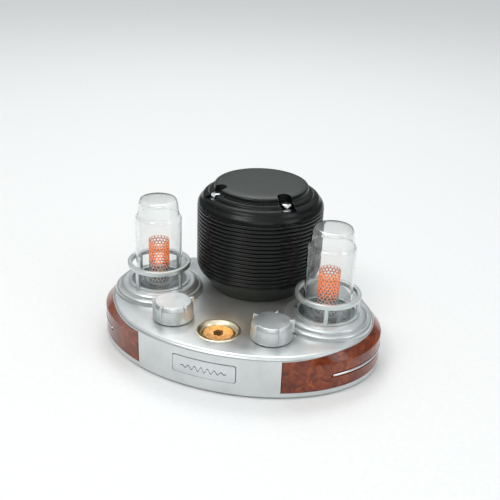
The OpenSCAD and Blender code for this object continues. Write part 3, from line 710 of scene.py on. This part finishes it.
def housing():
    """The housing as one wall round the plinth, with its top, and holes for what goes through it."""
    columns = []
    for quarter, is_side in SECTORS:
        count = 150 if is_side else 110
        for i in range(count + 1):
            t = -1 + 2 * i / count
            columns.append(housing_column(Edge(quarter, is_side, t, PANEL_END - END_GAP * MM), is_side))
    bm = bmesh.new()
    made = [[bm.verts.new(point) for point in column] for column in columns]
    for here, there in zip(made, made[1:] + made[:1]):
        for j in range(len(here) - 1):
            bm.faces.new((here[j], there[j], there[j + 1], here[j + 1]))
    bm.faces.new([column[0] for column in made])
    bm.faces.new([column[-1] for column in made])
    piece = to_piece("top_housing_shell", bm)
    eye_hole = bmesh.new()
    rod(eye_hole, EYE_HOLE_R * MM, TOP_Z - 12 * MM, TOP_Z + 5 * MM, EYE.x, EYE.y, 128)
    back_z = RIM_Z + BACK_HOLE_Z * MM
    jack_low, jack_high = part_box("dc_jack")
    at_back = Matrix.Translation(((jack_low.x + jack_high.x) / 2, jack_high.y, back_z))
    jack_hole = bmesh.new()
    bmesh.ops.create_cone(
        jack_hole, cap_ends=True, segments=64, radius1=4.2 * MM, radius2=4.2 * MM, depth=24 * MM,
        matrix=at_back @ Matrix.Rotation(math.pi / 2, 4, "X"),
    )
    lever_low, lever_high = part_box("band_lever")
    travel = LEVER_TRAVEL * MM
    middle = Vector(((lever_low.x + lever_high.x + travel) / 2, lever_high.y, back_z))
    slot_w = (lever_high.x - lever_low.x + travel) / MM + 1.6
    cutters = [
        to_piece("eye_hole", eye_hole),
        to_piece("jack_hole", jack_hole),
        block("lever_slot", (slot_w, 30, 4), Matrix.Translation(middle)),
        badge_cutter("badge_hole", 0.45, -4, 1.8, (0.3, 0.3)),
    ]
    return hand_in(carve(piece, cutters), "radio", ["top_housing"], "silver_paint")


def panel_column(edge):
    """A panel's section: bottom edge, trim groove, soft crease, bevel and back."""
    bottom = RIM_Z + (LEDGE + 0.1) * MM
    chamfer = 0.6
    top = edge.under_lip - 0.2 * MM
    past = abs(edge.wall.x) - TRIM_LOW.x + 0.9 * MM
    groove = 2.0 * MM
    half = math.sqrt(max(0.0, groove ** 2 - max(0.0, groove - past) ** 2)) if past > 0 else 0.0
    depth = 1.4 if past > 0 else 0.0
    column = [raised(edge.at(chamfer, chamfer), bottom), raised(edge.wall, bottom + chamfer * MM)]
    for z, inset in ((-1, 0), (-1, depth), (1, depth), (1, 0)):
        column.append(raised(edge.at(inset, inset), TRIM_Z + z * half))
    crease = min(edge.crease, top)
    below = raised(edge.wall, crease - 0.6 * MM * edge.grown)
    corner = raised(edge.wall, crease)
    slope = raised(edge.rim, top) - corner
    above = corner + slope * 0.06
    for step in range(6):
        s = step / 5
        column.append(below * (1 - s) ** 2 + corner * 2 * s * (1 - s) + above * s * s)
    column.append(raised(edge.rim + edge.inward * 0.1 * MM, top))
    column.append(raised(edge.rim + edge.inward * 1.2 * MM, top))
    column.append(raised(edge.at(PANEL_T, PANEL_T), edge.crease - SEAT_DROP * MM))
    column.append(raised(edge.at(PANEL_T, PANEL_T), bottom))
    return column


def wood_panel(side, sign):
    """A panel that follows the plinth's edge round one side."""
    quarter = 0 if sign > 0 else 2
    columns = []
    count = 260
    for i in range(count + 1):
        t = -1 + 2 * i / count
        columns.append(panel_column(Edge(quarter, True, t)))
    piece = skin(f"burl_panel_{side}", columns, "capped", 28)
    return hand_in(piece, "radio", [f"wood_panel_{side}"], "burl_wood")


def trim_strip(side, sign):
    """A half-round bar with blunt round ends, lying in the panel's groove."""
    quarter = 0 if sign > 0 else 2
    half = (TRIM_HIGH.z - TRIM_LOW.z) / 2
    columns = []
    count = 240
    last = math.acos(TRIM_LOW.x / HALF_W) / math.acos(PANEL_END / HALF_W)
    for i in range(count + 1):
        s = -1 + 2 * i / count
        edge = Edge(quarter, True, last * s)
        past = abs(edge.wall.x) - TRIM_LOW.x
        size = math.sqrt(max(0.0, half ** 2 - max(0.0, half - past) ** 2)) / half
        column = []
        for step in range(13):
            angle = math.pi * step / 12
            inset = 0.55 - 1.03 * size * math.sin(angle)
            column.append(raised(edge.at(inset, inset), TRIM_Z - half * size * math.cos(angle)))
        for end in (1, -1):
            column.append(raised(edge.at(1.38, 1.38), TRIM_Z + end * half * size))
        columns.append(column)
    piece = skin(f"trim_bar_{side}", columns, "open", 50)
    return hand_in(piece, "radio", [f"trim_strip_{side}"], "chrome_trim")


PLATE_INSET = 0.1            # depth in mm of the badge's face behind the front wall


def badge():
    """A thin plate in the front wall with an inlaid wave: a plain mark in place of any name."""
    piece = badge_cutter("badge_plate", 0, PLATE_INSET, 1.75)
    soften(piece, 0.25)
    hand_in(piece, "radio", ["name_badge"], "badge_plate")
    mid_z = (BADGE_LOW.z + BADGE_HIGH.z) / 2 - 0.6 * MM
    length = 35
    height = 1.9 * MM
    thick = 0.36 * MM
    columns = []
    count = 260
    for i in range(count + 1):
        x = (-length / 2 + length * i / count) * MM
        fade = math.sin(math.pi * i / count) ** 0.6
        z = mid_z + height * fade * math.sin(TAU * 7 * i / count)
        corners = ((0.07, -thick), (-0.08, -thick), (-0.08, thick), (0.07, thick))
        columns.append([on_front(x, PLATE_INSET + depth, z + rise) for depth, rise in corners])
    mark = skin("badge_wave", columns, "capped")
    coat(mark, "base_plastic")
    return hand_in(mark, "radio", [], "badge_plate")


# ---- valves ----

def shoulder(inner, high, outer, low, steps=10):
    """Points in mm up a rounded shoulder, from the wall at (outer, low) to the flat at (inner, high)."""
    turns = [math.pi / 2 * i / steps for i in range(steps + 1)]
    across = outer - inner
    up = high - low
    return [(inner + across * math.cos(turn), low + up * math.sin(turn)) for turn in turns]


def valve_base(side):
    """A pedestal of two round-shouldered steps, with painted shade: a darker, glossier floor inside the
    cage.
    """
    place = Round(f"valve_base_{side}")
    step = place.r / MM
    upper = step - 3.3
    floor_r = 21.1
    outline = [(9, 0), (step, 0), *shoulder(step - 2.2, 4.0, step, 0.7)]
    outline += [(upper + 0.1, 4.0), (upper, 4.15), *shoulder(upper - 4.6, 7.8, upper, 4.6)]
    outline += [(floor_r + 0.1, 7.8), (floor_r, 7.3), (18.3, 7.3), (18.3, 6.9), (16.3, 6.9), (16.3, 7.3)]
    outline += [(11.3, 7.3), (11.3, 6.1), (9, 6.1)]
    piece = turned(f"valve_pedestal_{side}", outline, place, place.low, 192)
    # painted shade: faces of the floor inside the cage take the darker, glossier silver
    coat(piece, "silver_paint", "painted_shade_floor")
    for face in piece.data.polygons:
        away = (face.center.xy - place.centre.xy).length
        if away < (floor_r + 0.05) * MM and face.center.z > place.low + 5 * MM:
            face.material_index = 1
    return hand_in(piece, "radio", [f"valve_base_{side}"], "silver_paint")


def valve_cage(side, first_post):
    """A rounded ring on four posts, and the thin ring that they stand on."""
    place = Round(f"valve_cage_{side}")
    outer = place.r / MM
    inner = outer - 3.2
    tall = (place.top - place.low) / MM
    ring = fillet([(inner, tall - 3.8), (outer, tall - 3.8), (outer, tall), (inner, tall)], 0.8, 6)
    piece = turned(f"cage_{side}", ring, place, place.low, 192)
    foot = fillet([(inner + 0.2, 0), (outer - 0.2, 0), (outer - 0.2, 1.0), (inner + 0.2, 1.0)], 0.35, 3)
    parts = [turned("foot_ring", foot, place, place.low, 192)]
    ring_middle = Matrix.Translation(((inner + outer) / 2 * MM, 0, 0))
    half_up = place.low + (tall - 2) / 2 * MM
    for i in range(4):
        at = turned_to(math.radians(first_post + 90 * i), place.x, place.y, half_up)
        parts.append(soften(block("post", (2.4, 3.3, tall - 2.6), at @ ring_middle), 0.7, 4))
    carve(piece, parts, "UNION")
    return hand_in(piece, "radio", [f"valve_cage_{side}"], "cage_silver")


def valve_glass(side):
    """A stepped glass with a shoulder, a slightly tapering neck and a flat crown."""
    place = Round(f"valve_glass_{side}")
    r = place.r / MM
    top = (place.top - place.low) / MM
    neck = top - 14.8
    outside = fillet(
        [(r, 0), (r, neck), (r - 1.7, neck + 2.2), (r - 2.2, neck + 6), (r - 2.9, top - 2.4),
         (r - 4.2, top - 0.4), (r - 8, top - 0.1), (4, top)],
        [0, 1.2, 1.6, 2.0, 2.0, 1.6, 3.0, 0], 7,
    )[1:]
    wall = 0.8
    bore = r - wall
    inside = fillet(
        [(4, top - wall), (r - 8.4, top - 0.15 - wall), (r - 4.8, top - 0.5 - wall),
         (bore - 3.0, top - 3.2), (bore - 2.3, neck + 6), (bore - 1.8, neck + 1.8),
         (bore, neck - 0.5), (bore, 0)],
        [0, 2.4, 1.8, 1.8, 1.4, 1.2, 1.2, 0], 7,
    )
    outline = [(r, 0)] + outside + [(0, top), (0, top - wall)] + inside
    piece = turned(f"glass_{side}", outline, place, place.low, 160, 60)
    return hand_in(piece, "radio", [f"valve_glass_{side}"], "clear_glass")


CELLS_AROUND = 18            # holes in one row round a perforated tube
HOLE_SHARE = 0.74            # size of a hole, as a share of its cell


def perforated_tube(side):
    """A tube of plate with rows of hexagonal holes, made cell by cell."""
    place = Round(f"valve_mesh_{side}")
    tall = place.top - place.low
    pitch = TAU * place.r / CELLS_AROUND
    rows = round(tall / (pitch * 0.866))
    row_h = tall / rows
    corner = row_h / 1.5
    bm = bmesh.new()
    outer_r = place.r - 0.05 * MM

    def wrapped(u, v):
        angle = u / place.r
        x = place.x + outer_r * math.cos(angle)
        return bm.verts.new((x, place.y + outer_r * math.sin(angle), v))

    for row in range(rows):
        v = place.low + row_h * (row + 0.5)
        for cell in range(CELLS_AROUND):
            u = pitch * (cell + 0.5 * (row % 2))
            rim, hole = [], []
            for k in range(6):
                angle = math.pi / 6 + math.pi / 3 * k
                du = pitch / math.sqrt(3) * math.cos(angle)
                dv = corner * math.sin(angle)
                rim.append(wrapped(u + du, min(place.top, max(place.low, v + dv))))
                hole.append(wrapped(u + du * HOLE_SHARE, v + dv * HOLE_SHARE))
            for k in range(6):
                n = (k + 1) % 6
                bm.faces.new((rim[k], rim[n], hole[n], hole[k]))
    bmesh.ops.remove_doubles(bm, verts=bm.verts, dist=2e-5)
    piece = to_piece(f"anode_tube_{side}", bm, 60)
    # outer face: painted glow; inner face: its darker copy, painted shade that makes the holes look dark
    coat(piece, "glow_mesh", "mesh_inside_painted_shade")
    change = piece.modifiers.new("plate", "SOLIDIFY")
    change.thickness = 0.45 * MM
    change.offset = -1
    change.material_offset = 1
    change.material_offset_rim = 1
    settle(piece, 50)
    return hand_in(piece, "radio", [f"valve_mesh_{side}"], "glow_mesh")


def valve_lamp(side):
    """A lamp board with a domed lamp and its collar."""
    place = Round(f"valve_lamp_{side}")
    r = place.r / MM
    tall = (place.top - place.low) / MM
    outline = fillet(
        [(0, 0), (r, 0), (r, 1.6), (3.1, 1.6), (3.1, 2.6), (2.5, 2.6), (2.5, tall - 2.4)],
        [0, 0.3, 0.3, 0.2, 0.2, 0.1, 0],
    )
    dome = shoulder(0, tall, 2.45, tall - 2.4, 8)[1:]
    piece = turned(f"lamp_{side}", outline + dome, place, place.low, 64)
    return hand_in(piece, "radio", [f"valve_lamp_{side}"], "lamp")


# ---- loudspeaker can ----

CAN = Round("can_body")
CAN_BORE = 45.0              # inner radius of the can, in mm
RIBS = 17
RIB_DEPTH = 1.55             # in mm


def can_collar():
    """The can's flared neck, which stands on the plinth's top."""
    place = Round("can_collar")
    outline = fillet(
        [(29.5, 0), (37.2, 0), (37.7, 1.2), (40, 4.4), (42.5, 8.3), (45, 11.5), (46.9, 13.9),
         (46.6, 14.6), (34.5, 14.6), (34.5, 4), (29.5, 4)],
        [0.2, 0.3, 0.5, 3, 4, 3, 0.6, 0.4, 0.3, 0.3, 0.2], 6,
    )
    piece = turned("can_neck", outline, place, place.low, 200)
    coat(piece, "black_neck")
    return hand_in(piece, "radio", ["can_collar"], "black_lid")


def can_body():
    """Stacked round ribs with narrow grooves, a little smaller towards the foot."""
    tall = (CAN.top - CAN.low) / MM
    pitch = tall / RIBS
    outer = CAN.r / MM
    outline = [(CAN_BORE, 0)]
    for rib in range(RIBS):
        z = rib * pitch
        taper = 2.2 * max(0.0, 1 - (z + pitch / 2) / 5.6) ** 1.5
        groove_r = outer - taper - RIB_DEPTH
        outline.append((groove_r, z + 0.05))
        for step in range(11):
            angle = math.pi * (step / 10 - 0.5)
            swell = math.cos(angle) ** 0.55 if abs(angle) < math.pi / 2 - 1e-6 else 0.0
            rise = pitch * (0.5 + 0.42 * math.sin(angle))
            outline.append((groove_r + RIB_DEPTH * swell, z + rise))
        outline.append((groove_r, z + pitch - 0.05))
    outline.append((CAN_BORE, tall))
    piece = turned("can_ribs", outline, CAN, CAN.low, 224, 50)
    return hand_in(piece, "radio", ["can_body"], "black_ribs")


BOLT_TURNS = (math.radians(222), math.radians(318))
BOLT_RING = 37.0             # radius in mm of the circle that the lid's bolts stand on
POCKET_AT = 34.7             # distance in mm from the can's axis to the centre of a pocket's round end
POCKET_R = 5.5
POCKET_DROP = 10.4           # depth in mm of a pocket's floor below the top of the lid


def can_lid():
    """A lid with stepped shoulders, a raised disc and two U-shaped bolt pockets."""
    place = Round("can_lid")
    t = (place.top - place.low) / MM
    base = t - 17.8
    outline = fillet(
        [(0, t), (20, t - 0.1), (30, t - 0.4), (34.2, t - 0.9), (36.1, t - 1.9), (36.7, t - 3.8),
         (36.8, t - 5.3), (38.9, t - 5.9), (40.4, t - 6.9), (41.0, t - 8.3), (43.4, t - 9.2),
         (44.9, t - 10.3), (46.3, t - 12.6), (47.9, t - 14.2), (49.0, t - 16.2), (49.3, base + 0.2),
         (44.7, base + 0.2), (44.7, base - 2), (41.7, base - 2), (41.7, base + 4), (24, base + 4),
         (24, t - 5), (0, t - 5)],
        [0, 0, 2, 1, 1, 0.8, 0.5, 0.9, 0.6, 0.5, 0.9, 0.7, 0.6, 0.9, 0.8, 0.3] + [0.2] * 6 + [0], 5,
    )
    piece = turned("can_cap", outline, place, place.low, 224)
    cutters = []
    seat = place.top - POCKET_DROP * MM
    round_end = [math.pi / 2 + math.pi * k / 14 for k in range(15)]
    path = [(POCKET_AT + POCKET_R * math.cos(a), POCKET_R * math.sin(a)) for a in round_end]
    path += [(62, -POCKET_R), (62, POCKET_R)]
    for turn in BOLT_TURNS:
        at = turned_to(turn, place.x, place.y)
        columns = [[at @ Vector((x * MM, y * MM, z)) for x, y in path] for z in (seat, place.top + 5 * MM)]
        cutters.append(skin("pocket", columns, "capped"))
    carve(piece, cutters, smooth=30)
    soften(piece, 0.35, 2, 50)
    # painted light: the top disc takes a lighter, rougher copy of the lid's black
    coat(piece, "black_lid", "black_disc_painted_light")
    for face in piece.data.polygons:
        away = (face.center.xy - place.centre.xy).length
        face.material_index = int(away < 35.6 * MM and face.center.z > place.top - 1.9 * MM)
    return hand_in(piece, "radio", ["can_lid"], "black_lid")


def can_bolts():
    """Two hexagon bolts with chamfered heads and washers, and their shanks down to the collar."""
    low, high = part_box("can_bolts")
    lid = Round("can_lid")
    seat = high.z - 5.2 * MM
    head_r = 4.15 * MM
    chamfer = 0.5 * MM
    washer_h = 0.7 * MM
    bm = bmesh.new()
    for turn in BOLT_TURNS:
        x = lid.x + BOLT_RING * MM * math.cos(turn)
        y = lid.y + BOLT_RING * MM * math.sin(turn)
        before = set(bm.verts)
        rod(bm, head_r, seat + washer_h, high.z - chamfer, x, y, 6)
        rod(bm, head_r, high.z - chamfer, high.z, x, y, 6, 3.2 * MM)
        rod(bm, 4.7 * MM, seat, seat + washer_h, x, y, 48)
        rod(bm, 2.0 * MM, low.z, seat, x, y, 32)
        fresh = [v for v in bm.verts if v not in before]
        bmesh.ops.rotate(bm, verts=fresh, cent=(x, y, 0), matrix=Matrix.Rotation(turn + 0.26, 3, "Z"))
    piece = soften(to_piece("cap_bolts", bm), 0.22, 2, 25)
    return hand_in(piece, "radio", ["can_bolts"], "chrome_trim")


# ---- controls ----

KNOB_R = 15.4                # in mm, without the fins
FINS = 5
FIN_FOOT = 3.9               # height in mm at which the fins begin


def knob(node, body, first_fin):
    """A turned knob with a broad chamfer, a flat face and five thin fins down its side."""
    place = Round(node)
    low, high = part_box(node)
    whole = (high.z - low.z) / MM - 0.1
    tall = whole - 0.5
    r = KNOB_R
    centre = Round(node.replace("knob", "shaft"))
    outline = fillet(
        [(0, 0.9), (r - 0.9, 0.9), (r - 0.9, 0), (r - 0.1, 0), (r, 0.9), (r - 0.4, tall - 3.0),
         (r - 2, tall), (r - 3.2, tall), (0, tall)],
        [0, 0, 0.1, 0.2, 0.4, 0.5, 0.35, 0, 0],
    )
    piece = turned(f"{node}_body", outline, centre, place.low, 160, 32)
    fins = []
    middle = place.low + (FIN_FOOT + whole) / 2 * MM
    for i in range(FINS):
        turn = math.radians(first_fin + 360 / FINS * i)
        at = turned_to(turn, centre.x, centre.y, middle) @ Matrix.Translation((14.3 * MM, 0, 0))
        fins.append(soften(block("fin", (3.8, 1.6, whole - FIN_FOOT), at), 0.25, 3))
    carve(piece, fins, "UNION", 32)
    return hand_in(piece, body, [node], "knob_silver")


def eye_bezel():
    """A brass ring with a rolled rim and a polished cone down to the lit disc."""
    rim = (EYE.top - EYE.low) / MM
    outline = fillet(
        [(12.25, 0), (13.6, 0), (13.6, rim - 4.1), (16, rim - 4.1), (16, rim - 0.5), (16.7, rim - 0.5),
         (16.5, rim - 0.2), (15.6, rim), (14.7, rim - 0.3), (13.3, rim - 1.4), (12.5, rim - 2.6),
         (12.25, rim - 3.0)],
        [0, 0.2, 0.1, 0.2, 0, 0, 0.3, 0.7, 0.9, 1.0, 0.4, 0.1], 6,
    )
    piece = turned("bezel_ring", outline, EYE, EYE.low, 192)
    return hand_in(piece, "radio", ["eye_bezel"], "brass_bezel")


def eye_lens():
    """The push button's disc: a raised edge, a shallow dish and a fine hammered face."""
    place = Round("eye_lens")
    low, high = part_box("eye_lens")
    tall = (high.z - low.z) / MM
    r = place.r / MM
    outline = fillet(
        [(0, 0), (2.6, 0), (2.6, tall - 2.4), (r - 1.2, tall - 2.4), (r - 1.2, tall - 6.5),
         (r, tall - 6.5), (r, tall - 1.9), (r - 0.7, tall - 1.7), (r - 0.8, tall - 0.1), (r - 1.4, tall),
         (r - 2.4, tall - 0.35), (r - 5, tall - 0.5), (0, tall - 0.5)],
        [0, 0.1, 0.2, 0.2, 0.1, 0.2, 0.2, 0.2, 0.3, 0.3, 0.3, 0.5, 0], 4,
    )
    piece = turned("button_disc", outline, place, place.low, 160)
    bm = bmesh.new()
    bm.from_mesh(piece.data)
    random.seed(7)

    def away(vert):
        return (vert.co.xy - place.centre.xy).length / MM

    face_z = high.z - 0.7 * MM
    edges = [
        edge for edge in bm.edges
        if all(vert.co.z > face_z and away(vert) < r - 2.3 for vert in edge.verts)
    ]
    bmesh.ops.subdivide_edges(bm, edges=edges, cuts=5, use_grid_fill=True)
    for vert in bm.verts:
        if vert.co.z > face_z and 1 < away(vert) < r - 2.5:
            vert.co.z += random.uniform(-0.06, 0.06) * MM
    bm.to_mesh(piece.data)
    bm.free()
    return hand_in(piece, "power_button", ["eye_lens"], "amber_lens")


def eye_rosette():
    """A small rosette of six domed petals round a pip, standing on the disc."""
    place = Round("eye_rosette")
    dish = fillet([(0, -0.45), (3.5, -0.45), (3.6, -0.2), (0, -0.1)], [0, 0.1, 0.1, 0], 3)
    piece = turned("rosette", dish, place, place.low, 48)

    def bead(away, turn, radius, height):
        bm = bmesh.new()
        centre = turned_to(turn, place.x, place.y, place.low - 0.35 * MM)
        middle = centre @ Matrix.Translation((away * MM, 0, 0))
        squeeze = Matrix.Diagonal((radius * MM, radius * MM, height * MM, 1))
        bmesh.ops.create_uvsphere(bm, u_segments=24, v_segments=12, radius=1, matrix=middle @ squeeze)
        return to_piece("bead", bm)

    beads = [bead(2.5, TAU * i / 6, 1.35, 1.05) for i in range(6)] + [bead(0, 0, 1.2, 1.2)]
    return hand_in(carve(piece, beads, "UNION"), "power_button", ["eye_rosette"], "dark_bronze")


def band_lever():
    """The slide lever at the back, with grip ridges."""
    low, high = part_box("band_lever")
    middle = (low + high) / 2
    size = (high - low) / MM
    piece = soften(block("slide_lever", size, Matrix.Translation(middle)), 0.35, 3)
    cutters = []
    for i in (-1, 0, 1):
        spot = Matrix.Translation((middle.x + i * 0.95 * MM, high.y, middle.z))
        cutters.append(block("groove", (0.45, 0.8, size.z + 2), spot))
    carve(piece, cutters)
    return hand_in(piece, "band_control", ["band_lever"], "black_component")


# ---- the CAD nodes that show as they are ----

def dress():
    """Gives every CAD node that still shows the procedural finish of its record slot."""
    for entry in frame["record"]["subparts"]:
        node = frame["nodes"][entry["node"]]
        if node.hide_render:
            continue
        finish = FINISHES[entry["material_slot"]]
        if not node.material_slots:
            node.data.materials.append(finish)
        for slot in node.material_slots:
            slot.material = finish


# ---- light, floor and camera ----

SKY = (    # brightness of the surroundings from the horizon up to overhead
    (0.0, (0.13, 0.14, 0.14)),
    (0.35, (0.22, 0.235, 0.24)),
    (0.62, (0.60, 0.62, 0.63)),
    (1.0, (0.95, 0.97, 0.98)),
)


def soft_box(name, place, target_z, width, height, energy, colour):
    """A rectangular lamp that faces the point at height target_z above the middle of the floor."""
    lamp = bpy.data.lights.new(name, "AREA")
    lamp.shape = "RECTANGLE"
    lamp.size = width
    lamp.size_y = height
    lamp.energy = energy
    lamp.color = colour
    holder = linked(name, lamp)
    holder.location = place
    towards = Vector((0, 0, target_z)) - Vector(place)
    holder.rotation_euler = towards.to_track_quat("-Z", "Y").to_euler()


def studio():
    """Soft light that is bright overhead and dim near the horizon, and four soft boxes."""
    world = bpy.data.worlds.new("studio")
    bpy.context.scene.world = world
    world.use_nodes = True
    nodes = world.node_tree.nodes
    links = world.node_tree.links
    direction = nodes.new("ShaderNodeTexCoord")
    split = nodes.new("ShaderNodeSeparateXYZ")
    links.new(direction.outputs["Generated"], split.inputs[0])
    sky = nodes.new("ShaderNodeValToRGB")
    links.new(split.outputs["Z"], sky.inputs["Fac"])
    fill_ramp(sky.color_ramp, SKY)
    seen = nodes.new("ShaderNodeLightPath")
    mixed = nodes.new("ShaderNodeMix")
    mixed.data_type = "RGBA"
    links.new(seen.outputs["Is Camera Ray"], mixed.inputs[0])
    links.new(sky.outputs[0], mixed.inputs[6])
    mixed.inputs[7].default_value = (0.9, 0.9, 0.89, 1)
    links.new(mixed.outputs[2], nodes["Background"].inputs["Color"])
    soft_box("key", (-0.35, -0.75, 1.15), 0.03, 0.62, 0.36, 4.5, (1.0, 0.99, 0.97))
    soft_box("fill", (1.1, -0.2, 0.7), 0.05, 0.5, 0.5, 1.6, (0.95, 0.98, 1.0))
    soft_box("front", (0.38, -1.0, 0.78), 0.05, 0.8, 0.2, 1.5, (1.0, 1.0, 0.99))
    soft_box("back", (-0.3, 0.75, 1.2), 0.08, 0.6, 0.6, 4.5, WHITE)


def floor():
    finish = Finish("paper_floor", Specular_IOR_Level=0.15)
    tooth = finish.noise(260, 4.0)
    finish.set(
        Base_Color=finish.ramp(tooth, (0.3, (0.90, 0.905, 0.90)), (0.7, (0.93, 0.935, 0.93))),
        Roughness=finish.spread(tooth, 0.75, 0.9),
    )
    bm = bmesh.new()
    bmesh.ops.create_grid(bm, x_segments=24, y_segments=24, size=5)
    sheet = to_piece("floor", bm)
    sheet.data.materials.append(finish.material)
    sheet.location.z = CAD_BOX[0][2]


def camera():
    """A camera at the photograph's angle: right of the front and raised, with a slight roll."""
    azimuth = math.radians(18.84)
    elevation = math.radians(27.25)
    distance = 0.6377
    roll = math.radians(2.0)
    target = Vector((0, MID_Y, RIM_Z + 0.04))
    back = Vector((
        math.sin(azimuth) * math.cos(elevation),
        -math.cos(azimuth) * math.cos(elevation),
        math.sin(elevation),
    ))
    right = (-back).cross(Vector((0, 0, 1))).normalized()
    up = right.cross(-back)
    rolled_right = right * math.cos(roll) + up * math.sin(roll)
    rolled_up = up * math.cos(roll) - right * math.sin(roll)
    turn = Matrix((rolled_right, rolled_up, back)).transposed().to_4x4()
    data = bpy.data.cameras.new("camera")
    data.sensor_width = 36
    data.lens = 59.27
    data.shift_x = 0.0173
    data.shift_y = 0.0857
    data.clip_start = 0.01
    holder = linked("camera", data)
    holder.matrix_world = Matrix.Translation(target + back * distance) @ turn
    bpy.context.scene.camera = holder


def eye_glow():
    """A faint warm lamp over the push button, for the light that its frosted disc scatters."""
    lamp = bpy.data.lights.new("eye_glow", "POINT")
    lamp.energy = 0.028
    lamp.color = (1.0, 0.62, 0.2)
    lamp.shadow_soft_size = 0.006
    holder = linked("eye_glow", lamp)
    holder.location = (EYE.x, EYE.y + 0.006, EYE.top + 0.011)
    holder.visible_glossy = False
    holder.visible_transmission = False


def build():
    housing()
    badge()
    for side, sign in SIDES:
        wood_panel(side, sign)
        trim_strip(side, sign)
        valve_base(side)
        valve_cage(side, -78 if sign > 0 else -111)
        valve_glass(side)
        perforated_tube(side)
        valve_lamp(side)
    can_collar()
    can_body()
    can_lid()
    can_bolts()
    knob("volume_knob", "volume_control", 114)
    knob("tuning_knob", "tuning_control", 93)
    eye_bezel()
    eye_lens()
    eye_rosette()
    band_lever()
    dress()


camera()
studio()
floor()
build()
eye_glow()
bpy.context.scene.view_settings.view_transform = "Standard"
